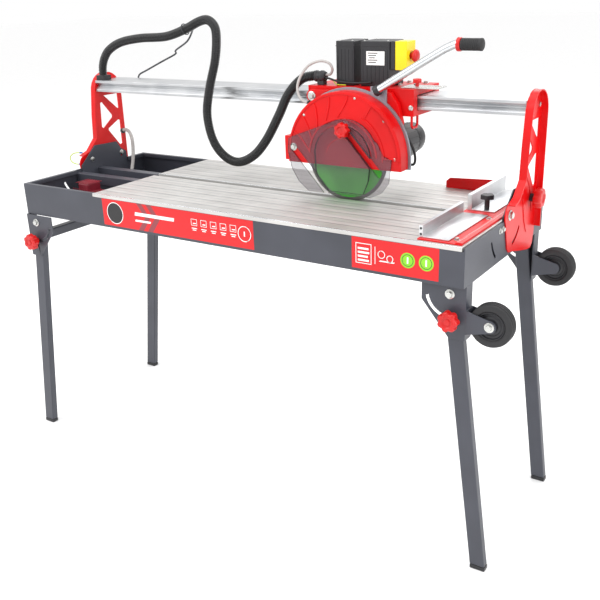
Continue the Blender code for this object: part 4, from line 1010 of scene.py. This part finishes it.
def handle_parts():
    """The push handle: bright tube in a short black socket, and a red collar before the ribbed grip."""
    tube = bmesh.new()
    path = smooth_path([at(*p) for p in HANDLE_ROUTE], 0.006)
    pipe(tube, path, 0.0108, 28)
    keep(tube, "handle.finished", polished_tube(), "head", "handle", angle=60)
    start, second = at(*HANDLE_ROUTE[0]), at(*HANDLE_ROUTE[1])
    along = (second - start).normalized()
    socket = bmesh.new()
    lathe(socket,
          [(0.0112, 0), (0.0138, 0), (0.0142, 0.002), (0.0142, 0.011), (0.0130, 0.014), (0.0112, 0.014),
                   (0.0112, 0)], start + along * 0.002, along, 32)
    keep(socket, "handle.socket", black_moulding(), "head", bevel=0.0006)
    low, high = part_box("handle_grip")
    collar = bmesh.new()
    lathe(collar,
          [(0.0108, 0), (0.0160, 0), (0.0170, 0.0015), (0.0170, 0.0085), (0.0160, 0.0100), (0.0108, 0.0100),
                   (0.0108, 0)], (low.x - 0.0102, (low.y + high.y) / 2, (low.z + high.z) / 2), (1, 0, 0), 40)
    keep(collar, "handle.collar", red_moulding(), "head", bevel=0.0006)
    grip = bmesh.new()
    profile = [(0, 0), (0.0138, 0), (0.0150, 0.0015), (0.0150, 0.0040)]
    for i in range(9):
        x = 0.0060 + i * 0.0048
        profile += [(0.0150, x), (0.0139, x + 0.0008), (0.0139, x + 0.0016), (0.0150, x + 0.0024)]
    profile += [(0.0153, 0.0500), (0.0153, 0.0535), (0.0125, 0.0556), (0, 0.0556)]
    lathe(grip, profile, (low.x, (low.y + high.y) / 2, (low.z + high.z) / 2), (1, 0, 0), 40)
    keep(grip, "handle_grip.finished", black_rubber(), "head", "handle_grip", bevel=0.0003, segments=1)


def guard_parts():
    """The clear guard in front of the blade, its knob and its sliding bolt."""
    guard = softened("guard", [smoked_sheet(), smoked_edge()], 0.0)
    for face in guard.data.polygons:
        face.material_index = 0 if abs(face.normal.y) > 0.9 else 1
    low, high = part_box("guard_knob")
    middle = (low + high) / 2
    knob = bmesh.new()
    lobes(knob, 0.0212, 0.0200, (middle.x, low.y + 0.0200, middle.z), (0, -1, 0), 7, 0.17, 0.40, 0.12)
    keep(knob, "guard_knob.finished", red_moulding(), "guard_knob", "guard_knob")
    stem = bmesh.new()
    drum(stem, 0.0080, high.y - low.y - 0.020, (middle.x, high.y, middle.z), (0, -1, 0), 24)
    keep(stem, "guard_knob.stem", bright_zinc(), "guard_knob", bevel=0.0003)


def fence_parts():
    """The cross fence: red base, two bright extrusions, the mitre arm and their knobs."""
    softened("fence_base", red_powder_coat(), 0.0005)
    softened("fence_front", crosswise_aluminium(), 0.0006)
    softened("fence_rear", crosswise_aluminium(), 0.0006)
    softened("fence_knob", black_moulding(), 0.0010)
    softened("mitre_arm", red_powder_coat(), 0.0010)


HOSE_ROUTE = (
    (-0.733, 0.105, 1.174), (-0.733, 0.105, 1.182), (-0.730, 0.105, 1.204), (-0.716, 0.104, 1.231),
    (-0.686, 0.102, 1.258), (-0.627, 0.100, 1.282), (-0.540, 0.100, 1.295), (-0.430, 0.100, 1.301),
    (-0.348, 0.100, 1.323), (-0.290, 0.098, 1.345), (-0.250, 0.093, 1.350), (-0.216, 0.082, 1.331),
    (-0.200, 0.066, 1.293), (-0.194, 0.045, 1.235), (-0.212, 0.032, 1.155), (-0.226, 0.030, 1.078),
    (-0.210, 0.030, 1.003), (-0.170, 0.030, 0.957), (-0.117, 0.030, 0.942), (-0.058, 0.030, 0.966),
    (-0.008, 0.030, 1.016), (0.038, 0.034, 1.090), (0.068, 0.042, 1.150), (0.102, 0.061, 1.191),
    (0.134, 0.075, 1.200), (0.142, 0.075, 1.200))
HOSE_RADIUS = 0.0138


def follow_hose(piece):
    """Bakes a piece of the hose, its ring or its stay into world space; the piece is on no body."""
    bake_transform(piece)


def hose_parts():
    """The corrugated hose from the rail's left end to the carriage, and its wire stay."""
    path = smooth_path([at(*p) for p in HOSE_ROUTE], looks().hose_pitch / 4)
    depths = (0.0, 0.0003, 0.0022, 0.0003)
    radii = [HOSE_RADIUS - depths[i % 4] for i in range(len(path))]
    shape = bmesh.new()
    pipe(shape, path, radii, 18)
    hose = keep(shape, "hose.corrugated", hose_plastic(), None, "hose", angle=75)
    follow_hose(hose)
    stay = softened("hose_support_wire", dull_wire(), 0.0, angle=70, body=None)
    follow_hose(stay)


def cord_piece(name, points, radius, material, bodies, sides=12):
    """A free lead or tube on its real route; one that crosses a joint between two bodies is baked into world space
    on no body.
    """
    path = smooth_path([at(*p) for p in points], 0.004)
    shape = bmesh.new()
    pipe(shape, path, radius, sides)
    piece = keep(shape, name, material, bodies[0] if len(bodies) == 1 else None, angle=80)
    if len(bodies) == 2:
        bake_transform(piece)
    return piece


def lead_parts():
    """The water tubes, earth leads and cables that are seen on the head, the column and in the pan."""
    cord_piece("head_water_tube",
               ((0.1766, 0.075, 1.2040), (0.192, 0.073, 1.207), (0.201, 0.068, 1.222), (0.193, 0.062, 1.238),
                (0.168, 0.056, 1.243), (0.138, 0.048, 1.232), (0.116, 0.040, 1.206), (0.108, 0.031, 1.176),
                (0.118, 0.022, 1.150), (0.138, 0.015, 1.137), (0.158, 0.012, 1.1345)), 0.0038,
               water_tube_plastic(),
               ("carriage", "head"))
    cord_piece("pan_water_tube",
               ((-0.7480, 0.178, 0.972), (-0.728, 0.176, 0.978), (-0.704, 0.170, 0.972),
                (-0.684, 0.160, 0.948),
                (-0.674, 0.148, 0.905), (-0.670, 0.132, 0.858), (-0.666, 0.108, 0.818),
                (-0.660, 0.070, 0.800),
                (-0.652, 0.020, 0.797), (-0.645, -0.030, 0.798), (-0.640, -0.066, 0.800)), 0.0060,
               water_tube_plastic(), ("bridge", "saw_frame"))
    cord_piece("earth_lead",
               ((-0.7540, -0.022, 0.8900), (-0.770, -0.030, 0.8910), (-0.784, -0.036, 0.898),
                (-0.790, -0.037, 0.912),
                (-0.783, -0.031, 0.924), (-0.770, -0.020, 0.928), (-0.7560, -0.010, 0.9270)), 0.0015,
               earth_wire(),
               ("saw_frame", "bridge"))
    cord_piece("carriage_earth_lead",
               ((0.176, 0.085, 1.1950), (0.186, 0.086, 1.1920), (0.196, 0.083, 1.1860),
                (0.206, 0.077, 1.1800),
                (0.222, 0.074, 1.1785), (0.240, 0.074, 1.1785)), 0.0014, earth_wire(), ("carriage",))
    cord_piece("control_cable",
               ((0.1766, 0.0700, 1.1960), (0.190, 0.069, 1.1950), (0.206, 0.072, 1.1900),
                (0.226, 0.074, 1.1865),
                (0.250, 0.0740, 1.1850), (0.276, 0.0740, 1.1850), (0.300, 0.0740, 1.1860),
                (0.318, 0.0765, 1.1880)),
               0.0028, black_rubber(), ("carriage",))
    cord_piece("motor_cable",
               ((0.4215, 0.0470, 1.0700), (0.432, 0.0485, 1.0640), (0.446, 0.051, 1.046),
                (0.456, 0.057, 1.022),
                (0.458, 0.066, 0.998), (0.451, 0.077, 0.978), (0.436, 0.087, 0.971), (0.418, 0.094, 0.9820)),
               0.0034,
               black_rubber(), ("head",))
    crimps = bmesh.new()
    drum(crimps, 0.0026, 0.010, at(-0.7540, -0.022, 0.8900), (-1, -0.4, 0.05), 14)
    keep(crimps, "earth_crimp_low", blue_crimp(), "saw_frame", bevel=0.0004)
    crimps = bmesh.new()
    drum(crimps, 0.0026, 0.010, at(-0.7560, -0.010, 0.9270), (-1, -0.6, 0.05), 14)
    keep(crimps, "earth_crimp_high", blue_crimp(), "bridge", bevel=0.0004)
    clamp = bmesh.new()
    ends = ((-0.7475, 0.178, 0.972), (-0.7400, 0.178, 0.974))
    lathe(clamp, [(0.0058, 0), (0.0088, 0), (0.0088, 0.009), (0.0058, 0.009), (0.0058, 0)], at(*ends[0]),
          (1, 0, 0.2), 24)
    keep(clamp, "pan_tube_clamp", black_moulding(), "bridge", bevel=0.0005)
    spigot = bmesh.new()
    lathe(spigot,
          [(0.0036, 0), (0.0056, 0), (0.0056, 0.006), (0.0066, 0.0065), (0.0066, 0.0100), (0.0036, 0.0100),
                   (0.0036, 0)], at(0.1625, 0.012, 1.1310), (-0.75, 0.05, 0.66), 20)
    keep(spigot, "cover_water_spigot", black_moulding(), "head", bevel=0.0004)
    ring = bmesh.new()
    here, there = at(-0.352, 0.100, 1.3215), at(-0.344, 0.100, 1.3245)
    loop = [(0.0165 + 0.0016 * math.cos(TAU * i / 10), 0.0016 * math.sin(TAU * i / 10)) for i in range(11)]
    lathe(ring, loop, (here + there) / 2, there - here, 40)
    follow_hose(keep(ring, "hose_ring", dull_wire(), None))


def fixing_parts():
    """Bolts and screws of the pan, brackets, columns and fence."""
    for side, way in (("left", -1), ("right", 1)):
        for row, out in (("near", -1), ("far", 1)):
            low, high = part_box(f"leg_bracket_{side}_{row}")
            face = low.y if out < 0 else high.y
            if side == "right":
                face = -0.257 if out < 0 else 0.257
            fasteners(f"leg_pivot_{side}_{row}",
                      [("bolt", 0.017, at(way * LEG_PIVOT[0], face, LEG_PIVOT[1]), (0, out, 0))],
                      bright_zinc(), "saw_frame")
        face = COLUMN_FACE * way
        fasteners(f"tilt_pivot_{side}", [("bolt", 0.019, at(face, 0, TILT_AXIS_HEIGHT), (way, 0, 0)),
                                         ("bolt", 0.013, at(face, 0.166, RAIL_HEIGHT), (way, 0, 0)),
                                         ("bolt", 0.013, at(face, 0.104, RAIL_HEIGHT), (way, 0, 0))], bright_zinc(),
                  "bridge")
        fasteners(f"bracket_bolts_{side}", [("bolt", 0.012, at(way * 0.7437, y, 0.900), (-way, 0, 0))
                                            for y in (0.020, 0.160)], bright_zinc(), "saw_frame")
        fasteners(f"end_bolts_{side}", [("bolt", 0.011, at(way * 0.750, y, 0.860), (way, 0, 0))
                                        for y in (-0.055, -0.035)], bright_zinc(), "saw_frame")
        ribs = bmesh.new()
        plane = face + way * 0.0001
        for points in (((0.082, 0.962), (0.092, 0.905), (0.108, 0.850), (0.130, 0.812)),
                       ((0.104, 0.972), (0.140, 0.925), (0.164, 0.860))):
            route = smooth_path([Vector((y, z, 0)) for y, z in points], 0.006)
            for a, b in zip(route, route[1:]):
                run = (b - a).normalized()
                across = Vector((-run.y, run.x, 0)) * 0.0022
                corners = [a + across, a - across, b - across, b + across]
                ring_low = [ribs.verts.new(at(plane, c.x, c.y)) for c in corners]
                ring_high = [ribs.verts.new(at(plane + way * 0.0016, c.x, c.y)) for c in corners]
                for i in range(4):
                    ribs.faces.new((ring_low[i], ring_low[(i + 1) % 4], ring_high[(i + 1) % 4], ring_high[i]))
                ribs.faces.new(ring_high)
                ribs.faces.new(list(reversed(ring_low)))
        keep(ribs, f"column_ribs_{side}", red_powder_coat(), "bridge", bevel=0.0006)
        cap = bmesh.new()
        lathe(cap, [(0, 0), (0.030, 0), (0.030, 0.0016), (0.027, 0.0030), (0.012, 0.0034), (0, 0.0034)],
              at(face, 0.135, RAIL_HEIGHT), (way, 0, 0), 40)
        keep(cap, f"rail_end_boss_{side}", red_powder_coat(), "bridge", bevel=0.0005)
    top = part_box("fence_base")[1].z
    heads = [("bolt", 0.011, at(0.711, y, top), (0, 0, 1)) for y in (-0.231, -0.032, 0.120, 0.240)]
    fasteners("fence_screws", heads, bright_zinc(), "saw_frame")
    # Flat black discs on the fence's front end: painted shade standing in for the dark inside of its two bores,
    # which are not cut.
    ends = bmesh.new()
    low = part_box("fence_front")[0]
    for x, z, r in ((0.629, 0.9035, 0.0030), (0.629, 0.8895, 0.0030)):
        lathe(ends, [(0, 0), (r, 0), (r, 0.0004), (0, 0.0004)], at(x, low.y, z), (0, -1, 0), 20)
    keep(ends, "fence_front_bore_shade", black_moulding(), "saw_frame")
    strip = bmesh.new()
    box(strip, at(0.7185, -0.258, top), at(0.7350, 0.262, top + 0.0022))
    keep(strip, "fence_scale_strip", red_moulding(), "saw_frame", bevel=0.0005)
    marks = bmesh.new()
    for i in range(50):
        y = -0.250 + 0.010 * i
        box(marks, at(0.7200 if i % 5 else 0.7190, y, top + 0.0022), at(0.7255, y + 0.0010, top + 0.0024))
    keep(marks, "fence_scale_marks", decal_white(), "saw_frame")


class TileSawLooks(bpy.types.PropertyGroup):
    """Sizes and colours of the looks that a user would change."""
    hose_pitch: bpy.props.FloatProperty(
        name="Hose rib pitch", description="Distance between two ribs of the corrugated hose", default=0.0048,
        min=0.003, unit="LENGTH")
    pan_edge: bpy.props.FloatProperty(
        name="Pan edge", description="Rounding of the pan's folded edges", default=0.0012, min=0.0,
                                      unit="LENGTH")
    knob_depth: bpy.props.FloatProperty(
        name="Knob depth", description="Height of the lobed rim of the red hand knobs", default=0.020,
                                        min=0.005,
        unit="LENGTH")
    lamp_share: bpy.props.FloatProperty(
        name="Lamp brightness", description="Share of the studio lamps' full power", default=0.85, min=0.0,
                                        max=4.0,
        subtype="FACTOR")
    air_strength: bpy.props.FloatProperty(
        name="Studio air", description="Strength of the white light from all round", default=1.0, min=0.0)
    paint_red: bpy.props.FloatVectorProperty(
        name="Red paint", description="Colour of the red powder coat", default=linear("#DA0408")[:3], size=3,
        min=0.0, max=1.0, subtype="COLOR")
    pan_grey: bpy.props.FloatVectorProperty(
        name="Pan paint", description="Colour of the blue-grey powder coat", default=linear("#41434C")[:3],
                                            size=3,
        min=0.0, max=1.0, subtype="COLOR")


def looks():
    """The user's sizes and colours."""
    return bpy.context.scene.tile_saw_looks


class BuildStudio(bpy.types.Operator):
    """The pale floor, soft lights, white air and camera."""
    bl_idname = "tile_saw.build_stage"
    bl_label = "Build the stage"

    def execute(self, context):
        studio()
        return {"FINISHED"}


class BuildPan(bpy.types.Operator):
    """The water pan with its beams, brackets and pump."""
    bl_idname = "tile_saw.build_pan"
    bl_label = "Build the pan"

    def execute(self, context):
        pan_parts()
        return {"FINISHED"}


class BuildPanels(bpy.types.Operator):
    """Two printed panels on the pan's front."""
    bl_idname = "tile_saw.build_panels"
    bl_label = "Build the printed panels"

    def execute(self, context):
        decal_parts()
        return {"FINISHED"}


class BuildTables(bpy.types.Operator):
    """The two fluted aluminium tables."""
    bl_idname = "tile_saw.build_tables"
    bl_label = "Build the tables"

    def execute(self, context):
        table_parts()
        return {"FINISHED"}


class BuildLegs(bpy.types.Operator):
    """The folding legs, their brackets and locking knobs."""
    bl_idname = "tile_saw.build_legs"
    bl_label = "Build the legs"

    def execute(self, context):
        leg_parts()
        return {"FINISHED"}


class BuildWheels(bpy.types.Operator):
    """The two transport wheels and their axle bolts."""
    bl_idname = "tile_saw.build_wheels"
    bl_label = "Build the wheels"

    def execute(self, context):
        wheel_parts()
        return {"FINISHED"}


class BuildBridge(bpy.types.Operator):
    """The columns, the rail and the tilt knobs."""
    bl_idname = "tile_saw.build_bridge"
    bl_label = "Build the bridge"

    def execute(self, context):
        bridge_parts()
        return {"FINISHED"}


class BuildCarriage(bpy.types.Operator):
    """The casting on the rail with its boxes and fixings."""
    bl_idname = "tile_saw.build_carriage"
    bl_label = "Build the carriage"

    def execute(self, context):
        carriage_parts()
        return {"FINISHED"}


class BuildSwitch(bpy.types.Operator):
    """The safety switch and its two buttons."""
    bl_idname = "tile_saw.build_switch"
    bl_label = "Build the switch"

    def execute(self, context):
        switch_parts()
        return {"FINISHED"}


class BuildBlade(bpy.types.Operator):
    """The diamond blade, its flanges and its arbor."""
    bl_idname = "tile_saw.build_blade"
    bl_label = "Build the blade"

    def execute(self, context):
        blade_parts()
        return {"FINISHED"}


class BuildCover(bpy.types.Operator):
    """The ribbed blade cover and the cast plate behind it."""
    bl_idname = "tile_saw.build_cover"
    bl_label = "Build the blade cover"

    def execute(self, context):
        cover_parts()
        return {"FINISHED"}


class BuildMotor(bpy.types.Operator):
    """The head's arm, its hinge bolt and the motor."""
    bl_idname = "tile_saw.build_motor"
    bl_label = "Build the arm and motor"

    def execute(self, context):
        arm_parts()
        return {"FINISHED"}


class BuildHandle(bpy.types.Operator):
    """The push handle with its socket, collar and grip."""
    bl_idname = "tile_saw.build_handle"
    bl_label = "Build the handle"

    def execute(self, context):
        handle_parts()
        return {"FINISHED"}


class BuildGuard(bpy.types.Operator):
    """The clear guard and its knob."""
    bl_idname = "tile_saw.build_guard"
    bl_label = "Build the guard"

    def execute(self, context):
        guard_parts()
        return {"FINISHED"}


class BuildFence(bpy.types.Operator):
    """The cross fence and the mitre arm."""
    bl_idname = "tile_saw.build_fence"
    bl_label = "Build the fence"

    def execute(self, context):
        fence_parts()
        return {"FINISHED"}


class BuildHose(bpy.types.Operator):
    """The corrugated hose and its wire stay."""
    bl_idname = "tile_saw.build_hose"
    bl_label = "Build the hose"

    def execute(self, context):
        hose_parts()
        return {"FINISHED"}


class BuildLeads(bpy.types.Operator):
    """The water tubes, earth leads and cables."""
    bl_idname = "tile_saw.build_leads"
    bl_label = "Build the leads"

    def execute(self, context):
        lead_parts()
        return {"FINISHED"}


class BuildFixings(bpy.types.Operator):
    """Bolts, screws and the fence's scale."""
    bl_idname = "tile_saw.build_fixings"
    bl_label = "Build the fixings"

    def execute(self, context):
        fixing_parts()
        return {"FINISHED"}


PIECES = (BuildStudio, BuildPan, BuildPanels, BuildTables, BuildLegs, BuildWheels, BuildBridge, BuildCarriage,
          BuildSwitch, BuildBlade, BuildCover, BuildMotor, BuildHandle, BuildGuard, BuildFence, BuildHose,
          BuildLeads,
          BuildFixings)


class TileSawPanel(bpy.types.Panel):
    """Lists the sizes and the pieces in the 3D view's sidebar."""
    bl_idname = "VIEW3D_PT_tile_saw"
    bl_label = "Tile Saw"
    bl_space_type = "VIEW_3D"
    bl_region_type = "UI"
    bl_category = "Tile Saw"

    def draw(self, context):
        for name in TileSawLooks.__annotations__:
            self.layout.prop(context.scene.tile_saw_looks, name)
        for piece in PIECES:
            self.layout.operator(piece.bl_idname)


CLASSES = (TileSawLooks, *PIECES, TileSawPanel)


def register():
    """Makes the sizes, the operators and the panel known to Blender."""
    for one in CLASSES:
        bpy.utils.register_class(one)
    bpy.types.Scene.tile_saw_looks = bpy.props.PointerProperty(type=TileSawLooks)


def unregister():
    """Takes them away again."""
    del bpy.types.Scene.tile_saw_looks
    for one in reversed(CLASSES):
        bpy.utils.unregister_class(one)


def main():
    """Registers the add-on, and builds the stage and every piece."""
    register()
    for piece in PIECES:
        group, name = piece.bl_idname.split(".")
        getattr(getattr(bpy.ops, group), name)()


if __name__ == "__main__":
    main()
